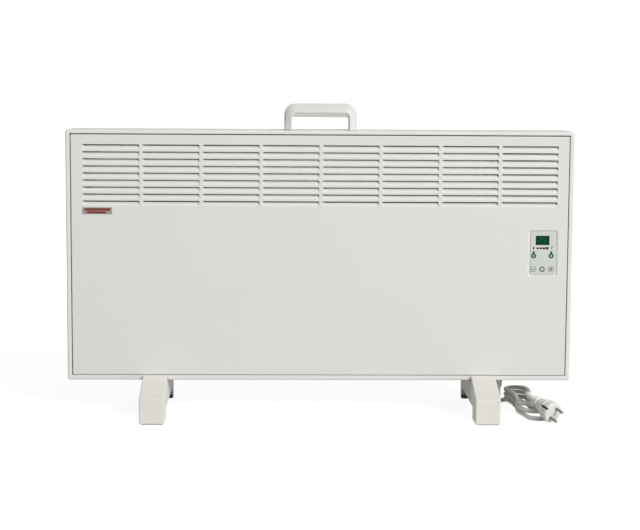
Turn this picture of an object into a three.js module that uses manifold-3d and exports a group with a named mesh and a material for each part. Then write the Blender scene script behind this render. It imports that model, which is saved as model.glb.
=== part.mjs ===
// Wall panel convector heater on two feet: a folded sheet-steel case with a pressed louvre front,
// a finned heating element, a small key panel and a mains lead tied in a hank beside the right foot.
// Millimetres. X runs along the heater, -Y is the front, Z is up.
// The origin is on the floor under the centre.
import * as THREE from 'three';
import { mergeVertices } from 'three/addons/utils/BufferGeometryUtils.js';
import { ConvexGeometry } from 'three/addons/geometries/ConvexGeometry.js';
import Module from 'manifold-3d';

const wasm = await Module();
wasm.setup();

// ---------------------------------------------------------------- driving dimensions
const CLEAR = 0.3; // gap left between two pieces that touch
const SHEET = 1; // steel sheet

const BODY = { width: 900, height: 446, depth: 85, bottom: 64, corner: 4, bend: 2.5 };
const RIM = { side: 7.7, top: 6.2, bottom: 8.6, turnIn: 14, rearLip: 12 }; // case edge seen round the front
const SEAM = 1.6; // gap between the rim and the front panel
const LEFT = -BODY.width / 2;
const RIGHT = BODY.width / 2;
const FRONT = -BODY.depth / 2;
const BACK = BODY.depth / 2;
const BOTTOM = BODY.bottom;
const TOP = BODY.bottom + BODY.height;

const PANEL = { turnBack: 15, corner: 2.5 };
const LOUVRE = {
  rows: 9, columns: 8, top: 484.8, pitch: 12.43, left: -419.5, step: 105.93,
  length: 99.4, height: 9, slit: 1.9, depth: 4, taper: 3.3,
};

const INLET = { rows: 3, columns: 16, length: 40, width: 6, rowPitch: 14, span: 800 };
const REAR_VENT = { rows: 2, columns: 12, length: 44, width: 5, rowPitch: 11, span: 780, levels: [96, 462] };
const KEYHOLE = { spacing: 500, height: 430, entry: 5.5, neck: 2.8, rise: 9 };

const HANDLE = { width: 129, opening: 100, height: 46.7, bar: 24, depth: 28, corner: 19, inner: 4, edge: 6 };
const HANDLE_SCREW = { spacing: 114.5, radius: 2.5, length: 20, headRadius: 4.5, headHeight: 3 };

const FOOT = {
  centre: 294, width: 44, reach: 130, toe: 46, hook: 72, hookThick: 2, wall: 3, lift: 1.2,
  blockBack: -78, archTop: 22, legTop: 97, legBottom: 114, padHeight: 6,
};
const FOOT_SCREW = { offset: 25, radius: 2, length: 9, headRadius: 4, headHeight: 2.4 };

const CONTROL = { x: 397.1, z: 294.2 }; // centre of the key panel
const RECESS = { width: 54, height: 83, floorWidth: 45.6, floorHeight: 77.4, depth: 2, corner: 3 };
const OVERLAY = { width: 44.4, height: 76.2, thick: 0.9, corner: 2.5, below: 0.8 };
const CUTOUT = { width: 43.4, height: 68.6 };
const DISPLAY = { x: -0.8, z: 23.1, width: 24.4, height: 16.6 };
const LEVELS = { x: -0.6, z: 9.1, step: 5.6, length: 4, heights: [2, 2.4, 2.9, 3.6] };
const SMALL_KEY = 4.3; // radius of the two upper keys
const LARGE_KEY = 5; // radius of the three lower keys
const KEYS = [
  { name: 'left_mode_key', x: -16.1, z: -4.5, radius: SMALL_KEY, color: 0x2f7a3d },
  { name: 'right_mode_key', x: 15.0, z: -4.5, radius: SMALL_KEY, color: 0x2f7a3d },
  { name: 'minus_key', x: -16.3, z: -28.5, radius: LARGE_KEY, color: 0xd5d8d2 },
  { name: 'power_key', x: -0.7, z: -28.4, radius: LARGE_KEY, color: 0xd5d8d2 },
  { name: 'plus_key', x: 15.2, z: -28.1, radius: LARGE_KEY, color: 0xd5d8d2 },
];
const KEY = { proud: 0.4, cap: 1.5, play: 0.35, stem: 1.6, travel: 0.5 };
const LAMPS = [[-16.4, 1.9], [15.3, 1.8]];
const LAMP_RADIUS = 1.1;
const BOARD = { width: 50, height: 82, thick: 1.6, front: -30, post: 3 };
const SWITCH = { size: 6, height: 4.3, plunger: 1.7, plungerHeight: 0.8 };
const BOX = { x: 391, width: 92, height: 104, front: -41.2, back: -12, wall: 2 };

const LABEL = { x: -394.6, z: 367.4, width: 51.9, height: 11.7, thick: 0.5 };

const ELEMENT = {
  from: -380, to: 252, y: -3, z: 150, hub: 9, rod: 5.5, fins: 8, finLength: 27, finThick: 2.4,
};
const BRACKET = { width: 44, thick: 1.2, foot: 16, top: 178 };
const SHIELD = { from: -432, to: 300, low: 84, high: 470, y: 33, flange: 6.6 };
const PARTITION = { x: 314, front: -24, flange: 11, low: 65.3, high: 470, notchLow: 96, notchHigh: 180 };
const ROD_END = 14; // how far the heating rod stands out past its fins
const CUTOUT_PLACE = { x: 120, z: 232, radius: 8, shelf: 22, width: 30 };
const SENSOR_PLACE = { x: 362, y: -10, z: 73, radius: 2.5, length: 20 };
const TERMINAL = { y: 12, z: 140, depth: 14, width: 26, height: 40 };
const CLAMP = { z: 90, width: 34, thick: 6, front: 9 };
const EARTH = { x: 405, y: 18, radius: 2.5, height: 14 };

const CORD = { radius: 4, sides: 8 };
const REST = 4.1; // height of the cord's centre where it lies on the floor
const GLAND = { x: 331, y: 27, flange: 11, hole: 8, tip: 5.6, end: 39.6, top: 74 };
const HANK = {
  x: 379.2, y: -9.1, heading: 11, run: 124, fold: 19.5, waist: 0.28, layer: 8.6, stepBack: 24,
  from: 0.06, to: 3.06, stepsPerTurn: 26, sides: 6,
};
const LEAD_ROUTE = [
  [331, 27, 39.3], [331, 27.2, 35], [331.2, 28.8, 25.5], [331.8, 34, 15.5], [332.8, 42, 8.2],
  [334, 51, 4.6], [335.8, 61, REST], [339.6, 72, REST], [347, 80.6, REST], [357.5, 84, REST],
  [368.2, 80.6, REST], [376, 71.6, REST], [381, 59.5, REST],
];
const TAIL_ROUTE = [[386.4, 14, 30.4], [383.6, -4, 32.4], [379, -20, 35.4], [375, -34, 38.2]];
const INNER_LEAD_ROUTE = [
  [331, 27, 40], [331, 27, 60], [331, 27, 85], [331, 27, 100], [332.5, 25.5, 110], [336, 22.5, 118],
];
const CONDUCTOR = { radius: 1.1, sides: 6 };
const CONDUCTORS = [
  ['live_conductor', 0x6b3b22, [
    [337.4, 23.9, 119.8], [342, 22, 128], [340, 20, 138], [334, 19, 140], [326.5, 19, 140],
  ]],
  ['neutral_conductor', 0x2a4f9c, [[335.8, 21, 120.4], [338, 20, 124], [334, 19, 128], [326.5, 19, 128]]],
  ['earth_conductor', 0x7f9a2c, [
    [339.4, 20.4, 119], [347, 19, 118], [365, 18, 104], [388, 18, 84], [396, 18, 76.5], [399.6, 18, 75],
  ]],
];
const PLUG = {
  face: [411.5, -111.9, 18.8], heading: 61.6, dip: 14.4, length: 66, groove: 4.4, grooveDepth: 2.6,
  grooveLength: 20,
  profile: [[0, 16.6], [2, 18.6], [18, 18.6], [24, 15.5], [30, 13.4], [42, 11], [48, 7.6], [66, 5.2]],
};
const PIN = { radius: 2.4, length: 19, sunk: 6, spacing: 19, roll: 59.1 };

// ---------------------------------------------------------------- colours
const WHITE_STEEL = { color: 0xdad9d4, roughness: 0.45, metalness: 0 };
const WHITE_PLASTIC = { color: 0xdedcd4, roughness: 0.5, metalness: 0 };
const CORD_WHITE = { color: 0xd7d6d2, roughness: 0.55, metalness: 0 };
const OVERLAY_GREY = { color: 0xced1cc, roughness: 0.4, metalness: 0 };
const RUBBER = { color: 0x191919, roughness: 0.85, metalness: 0 };
const ZINC = { color: 0xa9adb0, roughness: 0.35, metalness: 1 };
const ALUMINIUM = { color: 0xb9bcbf, roughness: 0.4, metalness: 1 };
const DARK_STEEL = { color: 0x54514c, roughness: 0.5, metalness: 1 };
const GREEN_GLASS = { color: 0x0d4c28, roughness: 0.2, metalness: 0 };
const BLACK_PLASTIC = { color: 0x1b1c1d, roughness: 0.5, metalness: 0 };
const BOARD_GREEN = { color: 0x1f5a34, roughness: 0.55, metalness: 0 };
const GREY_PLASTIC = { color: 0x8e9192, roughness: 0.55, metalness: 0 };

// ---------------------------------------------------------------- helpers
const object = new THREE.Group();

function add(name, geometry, finish, parent = object) {
  const mesh = new THREE.Mesh(geometry, new THREE.MeshStandardMaterial(finish));
  mesh.name = name;
  parent.add(mesh);
  return mesh;
}

function group(x, y, z, parent = object) {
  const holder = new THREE.Group();
  holder.position.set(x, y, z);
  parent.add(holder);
  return holder;
}

function toSolid(geometry) {
  const bare = geometry.clone();
  bare.deleteAttribute('normal');
  bare.deleteAttribute('uv');
  const merged = mergeVertices(bare, 1e-4);
  return new wasm.Manifold(new wasm.Mesh({
    numProp: 3,
    vertProperties: new Float32Array(merged.attributes.position.array),
    triVerts: new Uint32Array(merged.index.array),
  }));
}

function toGeometry(solid) {
  const mesh = solid.getMesh();
  const geometry = new THREE.BufferGeometry();
  geometry.setAttribute('position', new THREE.BufferAttribute(new Float32Array(mesh.vertProperties), 3));
  geometry.setIndex(new THREE.BufferAttribute(new Uint32Array(mesh.triVerts), 1));
  geometry.computeVertexNormals();
  return geometry;
}

function join(...geometries) {
  return toGeometry(geometries.map(toSolid).reduce((sum, next) => sum.add(next)));
}

function cut(geometry, ...tools) {
  return toGeometry(tools.map(toSolid).reduce((rest, tool) => rest.subtract(tool), toSolid(geometry)));
}

function overlap(...geometries) {
  return toGeometry(geometries.map(toSolid).reduce((common, next) => common.intersect(next)));
}

function box(x0, x1, y0, y1, z0, z1) {
  return new THREE.BoxGeometry(x1 - x0, y1 - y0, z1 - z0)
    .translate((x0 + x1) / 2, (y0 + y1) / 2, (z0 + z1) / 2);
}

// Turns a shape drawn in the plane square to an axis into a solid between two places on that axis.
// The drawing's two directions are (y, z) for x, (x, z) for y and (x, y) for z.
const TURNS = {
  x: new THREE.Matrix4().makeBasis(
    new THREE.Vector3(0, 1, 0), new THREE.Vector3(0, 0, 1), new THREE.Vector3(1, 0, 0)),
  y: new THREE.Matrix4().makeBasis(
    new THREE.Vector3(1, 0, 0), new THREE.Vector3(0, 0, 1), new THREE.Vector3(0, -1, 0)),
  z: new THREE.Matrix4(),
};

function prism(shape, axis, from, to, options = {}) {
  const geometry = new THREE.ExtrudeGeometry(shape, { depth: to - from, bevelEnabled: false, ...options });
  geometry.applyMatrix4(TURNS[axis]);
  if (axis === 'x') return geometry.translate(from, 0, 0);
  if (axis === 'y') return geometry.translate(0, to, 0);
  return geometry.translate(0, 0, from);
}

function polygon(points) {
  return new THREE.Shape(points.map(([u, v]) => new THREE.Vector2(u, v)));
}

function roundedRect(width, height, radius, x = 0, y = 0, segments = 4) {
  const points = [];
  for (const [sx, sy, start] of [[1, 1, 0], [-1, 1, 90], [-1, -1, 180], [1, -1, 270]]) {
    for (let i = 0; i <= segments; i++) {
      const angle = THREE.MathUtils.degToRad(start + 90 * i / segments);
      points.push([
        x + sx * (width / 2 - radius) + radius * Math.cos(angle),
        y + sy * (height / 2 - radius) + radius * Math.sin(angle),
      ]);
    }
  }
  return polygon(points);
}

function cylinder(radius, axis, from, to, u = 0, v = 0, sides = 16) {
  const circle = Array.from({ length: sides }, (_, i) => {
    const angle = 2 * Math.PI * i / sides;
    return [u + radius * Math.cos(angle), v + radius * Math.sin(angle)];
  });
  return prism(polygon(circle), axis, from, to);
}

function hull(points) {
  return new ConvexGeometry(points.map(p => new THREE.Vector3(...p)));
}

// A folded strip: the outer line of its section, rounded at the bends, with the metal on its right-hand side.
function strip(line, thick = SHEET, bend = BODY.bend, steps = 3) {
  const outer = [line[0]];
  for (let i = 1; i < line.length - 1; i++) {
    const corner = new THREE.Vector2(...line[i]);
    const before = new THREE.Vector2(...line[i - 1]).sub(corner).setLength(bend);
    const after = new THREE.Vector2(...line[i + 1]).sub(corner).setLength(bend);
    for (let k = 0; k <= steps; k++) {
      const angle = Math.PI / 2 * k / steps;
      outer.push([
        corner.x + before.x * (1 - Math.sin(angle)) + after.x * (1 - Math.cos(angle)),
        corner.y + before.y * (1 - Math.sin(angle)) + after.y * (1 - Math.cos(angle)),
      ]);
    }
  }
  outer.push(line[line.length - 1]);
  const inner = outer.map((point, i) => offsetPoint(outer, i, thick));
  return polygon([...outer, ...inner.reverse()]);
}

function offsetPoint(line, i, distance) {
  const here = new THREE.Vector2(...line[i]);
  const ends = [line[i - 1] ?? line[i], line[i + 1] ?? line[i]].map(p => new THREE.Vector2(...p));
  const into = here.clone().sub(ends[0]);
  const out = ends[1].clone().sub(here);
  if (into.length() === 0) into.copy(out);
  if (out.length() === 0) out.copy(into);
  const normals = [into, out].map(d => new THREE.Vector2(d.y, -d.x).normalize());
  const mean = normals[0].clone().add(normals[1]).normalize();
  const reach = distance / mean.dot(normals[0]);
  return [here.x + mean.x * reach, here.y + mean.y * reach];
}

function screw({ radius, length, headRadius, headHeight }) {
  const outline = [
    [0, -headHeight], [headRadius * 0.7, -headHeight], [headRadius, -headHeight * 0.5], [headRadius, 0],
    [radius, 0], [radius, length - radius], [radius * 0.5, length], [0, length],
  ].map(p => new THREE.Vector2(...p));
  return new THREE.LatheGeometry(outline, 14).rotateX(Math.PI / 2);
}

// ---------------------------------------------------------------- case
function caseOutline() {
  const shape = roundedRect(BODY.width, BODY.height, BODY.corner, 0, BOTTOM + BODY.height / 2);
  return prism(shape, 'y', FRONT - 1, BACK + 1);
}

function rimSection(edge, inward, rim) {
  // edge is the wall's outer face and inward the direction from it towards the middle, both along v
  const line = [
    [FRONT + RIM.turnIn, edge + inward * rim], [FRONT, edge + inward * rim],
    [FRONT, edge], [BACK, edge], [BACK, edge + inward * RIM.rearLip],
  ];
  return strip(inward < 0 ? line : line.reverse());
}

// The four sides meet at mitres that run through the rim's inner corners.
function mitre(corners) {
  return prism(polygon(corners), 'y', FRONT - 2, BACK + 2);
}

function mitreDepth(rim, steps = 20) {
  return [RIM.side * steps, rim * steps];
}

function caseTop() {
  const [dx, dz] = mitreDepth(RIM.top);
  const wedge = mitre([
    [LEFT + CLEAR + dx, TOP - dz], [RIGHT - CLEAR - dx, TOP - dz], [RIGHT - CLEAR, TOP], [LEFT + CLEAR, TOP],
  ]);
  const folded = prism(rimSection(TOP, -1, RIM.top), 'x', LEFT, RIGHT);
  const holes = [-1, 1].map(side => cylinder(HANDLE_SCREW.radius + CLEAR, 'z', TOP - 5, TOP + 5,
    side * HANDLE_SCREW.spacing / 2, 0));
  return cut(overlap(folded, wedge, caseOutline()), ...holes);
}

function slots(rows, columns, length, width, rowPitch, span) {
  const places = [];
  for (let row = 0; row < rows; row++) {
    for (let column = 0; column < columns; column++) {
      places.push({
        x: -span / 2 + (column + 0.5) * span / columns,
        offset: (row - (rows - 1) / 2) * rowPitch,
        length,
        width,
      });
    }
  }
  return places;
}

function footScrewPlaces() {
  return [-1, 1].flatMap(side => [-1, 1].map(end => [side * FOOT.centre, end * FOOT_SCREW.offset]));
}

function caseBottom() {
  const [dx, dz] = mitreDepth(RIM.bottom);
  const wedge = mitre([
    [LEFT + CLEAR, BOTTOM], [RIGHT - CLEAR, BOTTOM], [RIGHT - CLEAR - dx, BOTTOM + dz],
    [LEFT + CLEAR + dx, BOTTOM + dz],
  ]);
  const folded = prism(rimSection(BOTTOM, 1, RIM.bottom), 'x', LEFT, RIGHT);
  const keepOut = GLAND.x - GLAND.flange - INLET.length / 2;
  const inlets = slots(INLET.rows, INLET.columns, INLET.length, INLET.width, INLET.rowPitch, INLET.span)
    .filter(({ x }) => x < keepOut && Math.abs(Math.abs(x) - FOOT.centre) > FOOT.width / 2)
    .map(({ x, offset }) => box(x - INLET.length / 2, x + INLET.length / 2,
      offset - INLET.width / 2, offset + INLET.width / 2, BOTTOM - 1, BOTTOM + SHEET + 1));
  const holes = footScrewPlaces().map(([x, y]) => cylinder(FOOT_SCREW.radius + CLEAR, 'z',
    BOTTOM - 1, BOTTOM + SHEET + 1, x, y, 12));
  const glandHole = cylinder(GLAND.hole + CLEAR, 'z', BOTTOM - 1, BOTTOM + SHEET + 1, GLAND.x, GLAND.y, 20);
  return cut(overlap(folded, wedge, caseOutline()), ...inlets, ...holes, glandHole);
}

function caseSide(side) {
  const edge = side * BODY.width / 2;
  const [dx, dzTop] = mitreDepth(RIM.top);
  const dzBottom = mitreDepth(RIM.bottom)[1];
  const line = [
    [edge - side * RIM.side, FRONT + RIM.turnIn], [edge - side * RIM.side, FRONT],
    [edge, FRONT], [edge, BACK], [edge - side * RIM.rearLip, BACK],
  ];
  const folded = prism(strip(side > 0 ? line.reverse() : line), 'z', BOTTOM, TOP);
  const wedge = mitre([
    [edge, BOTTOM + CLEAR], [edge, TOP - CLEAR],
    [edge - side * dx, TOP - CLEAR - dzTop], [edge - side * dx, BOTTOM + CLEAR + dzBottom],
  ]);
  return overlap(folded, wedge, caseOutline());
}

function keyholeTool(x) {
  const { height, entry, neck, rise } = KEYHOLE;
  const y0 = BACK - 4;
  return join(
    cylinder(entry, 'y', y0, BACK, x, height, 14),
    cylinder(neck, 'y', y0, BACK, x, height + rise, 12),
    box(x - neck, x + neck, y0, BACK, height, height + rise),
  );
}

function rearPanel() {
  const inset = BODY.bend;
  const back = BACK - SHEET - CLEAR;
  const shape = roundedRect(BODY.width - 2 * inset, BODY.height - 2 * inset, BODY.corner, 0,
    (BOTTOM + TOP) / 2);
  const vents = REAR_VENT.levels.flatMap(level => slots(REAR_VENT.rows, REAR_VENT.columns, REAR_VENT.length,
    REAR_VENT.width, REAR_VENT.rowPitch, REAR_VENT.span)
    .map(({ x, offset }) => box(x - REAR_VENT.length / 2, x + REAR_VENT.length / 2, back - 3, BACK,
      level + offset - REAR_VENT.width / 2, level + offset + REAR_VENT.width / 2)));
  const keyholes = [-1, 1].map(side => keyholeTool(side * KEYHOLE.spacing / 2));
  return cut(prism(shape, 'y', back - SHEET, back), ...vents, ...keyholes);
}

// ---------------------------------------------------------------- front panel
// Each louvre is slit along its top and pressed inwards, so that the blade leans back from its lower edge.
function louvreVoid(x, top) {
  const { length, height, slit, depth, taper } = LOUVRE;
  const deep = FRONT + depth;
  return hull([FRONT - 1, FRONT].flatMap(y => [
    [x, y, top], [x + length, y, top], [x, y, top - height], [x + length, y, top - height],
  ]).concat([top, top - slit].flatMap(z => [[x + taper, deep, z], [x + length - taper, deep, z]])));
}

function louvreShell(x, top) {
  const { length, height, slit, depth, taper } = LOUVRE;
  const wall = SHEET * 0.9;
  const rim = top - 0.05;
  return hull([FRONT + SHEET / 2, FRONT + SHEET].flatMap(y => [
    [x - wall, y, rim], [x + length + wall, y, rim],
    [x - wall, y, top - height - wall], [x + length + wall, y, top - height - wall],
  ]).concat([
    [x + taper - wall, FRONT + depth + SHEET, top - slit],
    [x + length - taper + wall, FRONT + depth + SHEET, top - slit],
  ]));
}

function louvrePlaces() {
  const places = [];
  for (let row = 0; row < LOUVRE.rows; row++) {
    for (let column = 0; column < LOUVRE.columns; column++) {
      places.push([LOUVRE.left + column * LOUVRE.step, LOUVRE.top - row * LOUVRE.pitch]);
    }
  }
  return places;
}

function frustum(width, height, y, floorWidth, floorHeight, floorY, corner, lead = 0) {
  const ring = (w, h, r, depth) => roundedRect(w, h, r, CONTROL.x, CONTROL.z, 3).getPoints()
    .map(p => [p.x, depth, p.y]);
  const rings = [...ring(width, height, corner + 1.5, y), ...ring(floorWidth, floorHeight, corner, floorY)];
  if (lead) rings.push(...ring(width, height, corner + 1.5, y - lead));
  return hull(rings);
}

function frontPanel() {
  const x0 = LEFT + RIM.side + SEAM;
  const x1 = RIGHT - RIM.side - SEAM;
  const z0 = BOTTOM + RIM.bottom + SEAM;
  const z1 = TOP - RIM.top - SEAM;
  const outline = inset => roundedRect(x1 - x0 - 2 * inset, z1 - z0 - 2 * inset, PANEL.corner,
    (x0 + x1) / 2, (z0 + z1) / 2, 3);
  const pan = cut(
    prism(outline(0), 'y', FRONT, FRONT + PANEL.turnBack),
    prism(outline(SHEET), 'y', FRONT + SHEET, FRONT + PANEL.turnBack + 1),
  );
  const places = louvrePlaces();
  const recessShell = frustum(RECESS.width + 2 * SHEET, RECESS.height + 2 * SHEET, FRONT + SHEET / 2,
    RECESS.floorWidth + 2 * SHEET, RECESS.floorHeight + 2 * SHEET, FRONT + RECESS.depth + SHEET,
    RECESS.corner);
  const recessVoid = frustum(RECESS.width, RECESS.height, FRONT, RECESS.floorWidth, RECESS.floorHeight,
    FRONT + RECESS.depth, RECESS.corner, 1);
  const opening = box(CONTROL.x - CUTOUT.width / 2, CONTROL.x + CUTOUT.width / 2, FRONT, FRONT + 6,
    CONTROL.z - CUTOUT.height / 2, CONTROL.z + CUTOUT.height / 2);
  return cut(
    join(pan, recessShell, ...places.map(place => louvreShell(...place))),
    recessVoid, opening, ...places.map(place => louvreVoid(...place)),
  );
}

// ---------------------------------------------------------------- handle and feet
function carryHandle() {
  const { width, opening, height, bar, depth, corner, inner, edge } = HANDLE;
  const base = TOP + CLEAR;
  const sunk = 12; // drawn below the case and trimmed, so that the rounded ends are cut off square
  const full = height + sunk;
  const shape = roundedRect(width, full + corner, corner, 0, base - sunk + (full - corner) / 2, 6);
  const gap = roundedRect(opening, 2 * (height - bar + sunk), inner, 0, base - sunk, 4);
  const rounding = { bevelThickness: edge, bevelSize: edge, bevelOffset: -edge, bevelSegments: 3 };
  const arch = prism(shape, 'y', -depth / 2 + edge, depth / 2 - edge, { bevelEnabled: true, ...rounding });
  const screwHoles = [-1, 1].map(side => cylinder(HANDLE_SCREW.radius + CLEAR, 'z', base - 1,
    base + HANDLE_SCREW.length, side * HANDLE_SCREW.spacing / 2, 0, 12));
  return cut(arch, prism(gap, 'y', -depth, depth), box(-width, width, -depth, depth, base - 60, base),
    ...screwHoles);
}

// Front and rear pads, each set in a pocket of the foot's underside.
function padPlaces() {
  const { reach, wall, blockBack, legBottom } = FOOT;
  const inset = wall + CLEAR;
  return [[-reach + inset, blockBack - inset], [legBottom + inset, reach - inset]];
}

function footGeometry() {
  const { width, reach, toe, hook, hookThick, wall, lift, blockBack, archTop, legTop, legBottom } = FOOT;
  const seat = BOTTOM - CLEAR; // the case rests here
  const grip = BODY.depth / 2 + CLEAR;
  const side = [
    [-reach, lift], [blockBack, lift], [blockBack, archTop], [legTop, archTop], [legBottom, lift],
    [reach, lift], [reach, toe], [grip + hookThick, hook], [grip, hook], [grip, seat],
    [-grip, seat], [-grip, hook], [-grip - hookThick, hook], [-reach, toe],
  ];
  const roof = seat - wall;
  const slope = (hook - toe) / (reach - grip - hookThick);
  const crest = reach - wall - (roof - toe + wall) / slope;
  const channel = [
    [blockBack + wall, archTop - 8], [legTop - 8, archTop - 8], [legTop - 12, toe], [crest, roof],
    [9 - crest, roof],
  ];
  const half = width / 2 - wall;
  const pockets = padPlaces().map(([y0, y1]) => box(-half, half, y0 - CLEAR, y1 + CLEAR,
    lift - 1, FOOT.padHeight + CLEAR));
  const holes = [-1, 1].map(end => cylinder(FOOT_SCREW.radius + CLEAR, 'z', roof - 1, seat + 1,
    0, end * FOOT_SCREW.offset, 12));
  return cut(prism(polygon(side), 'x', -width / 2, width / 2), prism(polygon(channel), 'x', -half, half),
    ...pockets, ...holes);
}

function padGeometry(y0, y1) {
  const half = FOOT.width / 2 - FOOT.wall - CLEAR;
  const shape = roundedRect(2 * half, y1 - y0, 2, 0, (y0 + y1) / 2, 2);
  return prism(shape, 'z', 0, FOOT.padHeight);
}

function addFeet() {
  const { wall } = FOOT;
  const [frontPad, rearPad] = padPlaces();
  for (const [name, side] of [['left', -1], ['right', 1]]) {
    const holder = group(side * FOOT.centre, 0, 0);
    add(`${name}_foot`, footGeometry(), WHITE_PLASTIC, holder);
    add(`${name}_front_pad`, padGeometry(...frontPad), RUBBER, holder);
    add(`${name}_rear_pad`, padGeometry(...rearPad), RUBBER, holder);
    for (const [end, sign] of [['front', -1], ['rear', 1]]) {
      const fixing = add(`${name}_${end}_foot_screw`, screw(FOOT_SCREW), ZINC, holder);
      fixing.position.set(0, sign * FOOT_SCREW.offset, BOTTOM - CLEAR - wall - CLEAR);
    }
  }
}

function addHandle() {
  add('carry_handle', carryHandle(), WHITE_PLASTIC);
  for (const [name, side] of [['left', -1], ['right', 1]]) {
    const fixing = add(`handle_screw_${name}`, screw(HANDLE_SCREW), ZINC);
    fixing.position.set(side * HANDLE_SCREW.spacing / 2, 0, TOP - SHEET - CLEAR);
  }
}

// ---------------------------------------------------------------- key panel
const OVERLAY_FRONT = FRONT + OVERLAY.below;
const OVERLAY_BACK = OVERLAY_FRONT + OVERLAY.thick;

function levelPlaces() {
  return LEVELS.heights.map((height, i) => ({
    x: LEVELS.x + (i - (LEVELS.heights.length - 1) / 2) * LEVELS.step,
    z: LEVELS.z,
    height,
  }));
}

function overlayGeometry() {
  const outline = roundedRect(OVERLAY.width, OVERLAY.height, OVERLAY.corner);
  const plate = prism(outline, 'y', OVERLAY_FRONT, OVERLAY_BACK);
  const y0 = OVERLAY_FRONT - 1;
  const y1 = OVERLAY_BACK + 1;
  const window = box(DISPLAY.x - DISPLAY.width / 2, DISPLAY.x + DISPLAY.width / 2, y0, y1,
    DISPLAY.z - DISPLAY.height / 2, DISPLAY.z + DISPLAY.height / 2);
  const keyHoles = KEYS.map(key => cylinder(key.radius + KEY.play, 'y', y0, y1, key.x, key.z, 20));
  const lampHoles = LAMPS.map(([x, z]) => cylinder(LAMP_RADIUS + CLEAR, 'y', y0, y1, x, z, 10));
  const bars = levelPlaces().map(({ x, z, height }) => box(x - LEVELS.length / 2 - CLEAR,
    x + LEVELS.length / 2 + CLEAR, y0, y1, z - height / 2 - CLEAR, z + height / 2 + CLEAR));
  return cut(plate, window, ...keyHoles, ...lampHoles, ...bars);
}

function keyGeometry({ x, z, radius }) {
  const face = OVERLAY_FRONT - KEY.proud;
  const stemEnd = BOARD.front - CLEAR - SWITCH.height - SWITCH.plungerHeight - KEY.travel - 0.2;
  return join(
    cylinder(radius, 'y', face, face + KEY.cap, x, z, 20),
    cylinder(KEY.stem, 'y', face + KEY.cap / 2, stemEnd, x, z, 10),
  );
}

// The board carries its tactile switches, its two lamps and the row of level lamps, all soldered on.
function boardGeometry() {
  const { width, height, thick, front } = BOARD;
  const soldered = front + 0.4;
  const switches = KEYS.flatMap(({ x, z }) => [
    box(x - SWITCH.size / 2, x + SWITCH.size / 2, front - CLEAR - SWITCH.height, soldered,
      z - SWITCH.size / 2, z + SWITCH.size / 2),
    cylinder(SWITCH.plunger, 'y', front - CLEAR - SWITCH.height - SWITCH.plungerHeight, soldered, x, z, 10),
  ]);
  const lamps = LAMPS.map(([x, z]) => cylinder(LAMP_RADIUS, 'y', OVERLAY_FRONT + 0.2, soldered, x, z, 10));
  const bars = levelPlaces().map(({ x, z, height: tall }) => box(x - LEVELS.length / 2, x + LEVELS.length / 2,
    OVERLAY_FRONT + 0.2, soldered, z - tall / 2, z + tall / 2));
  return join(box(-width / 2, width / 2, front, front + thick, -height / 2, height / 2),
    ...switches, ...lamps, ...bars);
}

function boxPosts() {
  const dx = BOARD.width / 2 - 3;
  const dz = BOARD.height / 2 - 3;
  return [[-dx, -dz], [dx, -dz], [-dx, dz], [dx, dz]].map(([x, z]) => cylinder(BOARD.post, 'y',
    BOARD.front + BOARD.thick + CLEAR, BOX.back - BOX.wall / 2, x, z, 10));
}

function controlBox() {
  const { width, height, front, back, wall } = BOX;
  const shift = BOX.x - CONTROL.x;
  const tray = cut(
    box(shift - width / 2, shift + width / 2, front, back, -height / 2, height / 2),
    box(shift - width / 2 + wall, shift + width / 2 - wall, front - 1, back - wall,
      -height / 2 + wall, height / 2 - wall),
    cylinder(5, 'z', -height / 2 - 1, -height / 2 + wall + 1, shift - width / 2 + 16, -24, 12),
  );
  return join(tray, ...boxPosts());
}

function addKeyPanel() {
  const holder = group(CONTROL.x, 0, CONTROL.z);
  add('control_overlay', overlayGeometry(), OVERLAY_GREY, holder);
  const half = { x: DISPLAY.width / 2 - CLEAR, z: DISPLAY.height / 2 - CLEAR };
  add('display_window', box(DISPLAY.x - half.x, DISPLAY.x + half.x, OVERLAY_FRONT + 0.1, OVERLAY_BACK,
    DISPLAY.z - half.z, DISPLAY.z + half.z), GREEN_GLASS, holder);
  add('display_module', box(DISPLAY.x - half.x, DISPLAY.x + half.x, OVERLAY_BACK + CLEAR, BOARD.front - CLEAR,
    DISPLAY.z - half.z, DISPLAY.z + half.z), BLACK_PLASTIC, holder);
  add('control_board', boardGeometry(), BOARD_GREEN, holder);
  add('control_box', controlBox(), WHITE_PLASTIC, holder);
  for (const key of KEYS) {
    add(key.name, keyGeometry(key), { color: key.color, roughness: 0.45, metalness: 0 }, holder);
  }
  const behind = BOARD.front + BOARD.thick + CLEAR;
  add('power_relay', box(-14, 14, behind, behind + 12, -34, -20), BLACK_PLASTIC, holder);
  add('board_transformer', box(-15, 15, behind, behind + 12, -12, 14), GREY_PLASTIC, holder);
}

function labelPlate() {
  const { x, z, width, height, thick } = LABEL;
  return prism(roundedRect(width, height, 1, x, z, 2), 'y', FRONT - CLEAR - thick, FRONT - CLEAR);
}

// ---------------------------------------------------------------- heating unit
const SHIELD_FRONT = SHIELD.y;
const REAR_LIMIT = BACK - 2 * SHEET - 2 * CLEAR; // just in front of the rear panel

// An extruded aluminium star with a bore along its middle.
function finnedElement() {
  const { from, to, z, y, hub, fins, finLength, finThick, rod } = ELEMENT;
  const outline = [];
  for (let i = 0; i < fins; i++) {
    const angle = 2 * Math.PI * (i + 0.5) / fins;
    const along = [Math.cos(angle), Math.sin(angle)];
    const root = Math.sqrt(hub ** 2 - (finThick / 2) ** 2);
    for (const [reach, side] of [[root, -1], [finLength, -1], [finLength, 1], [root, 1]]) {
      outline.push([
        y + along[0] * reach - along[1] * side * finThick / 2,
        z + along[1] * reach + along[0] * side * finThick / 2,
      ]);
    }
  }
  return cut(prism(polygon(outline), 'x', from, to), cylinder(rod + CLEAR, 'x', from - 1, to + 1, y, z, 16));
}

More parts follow.
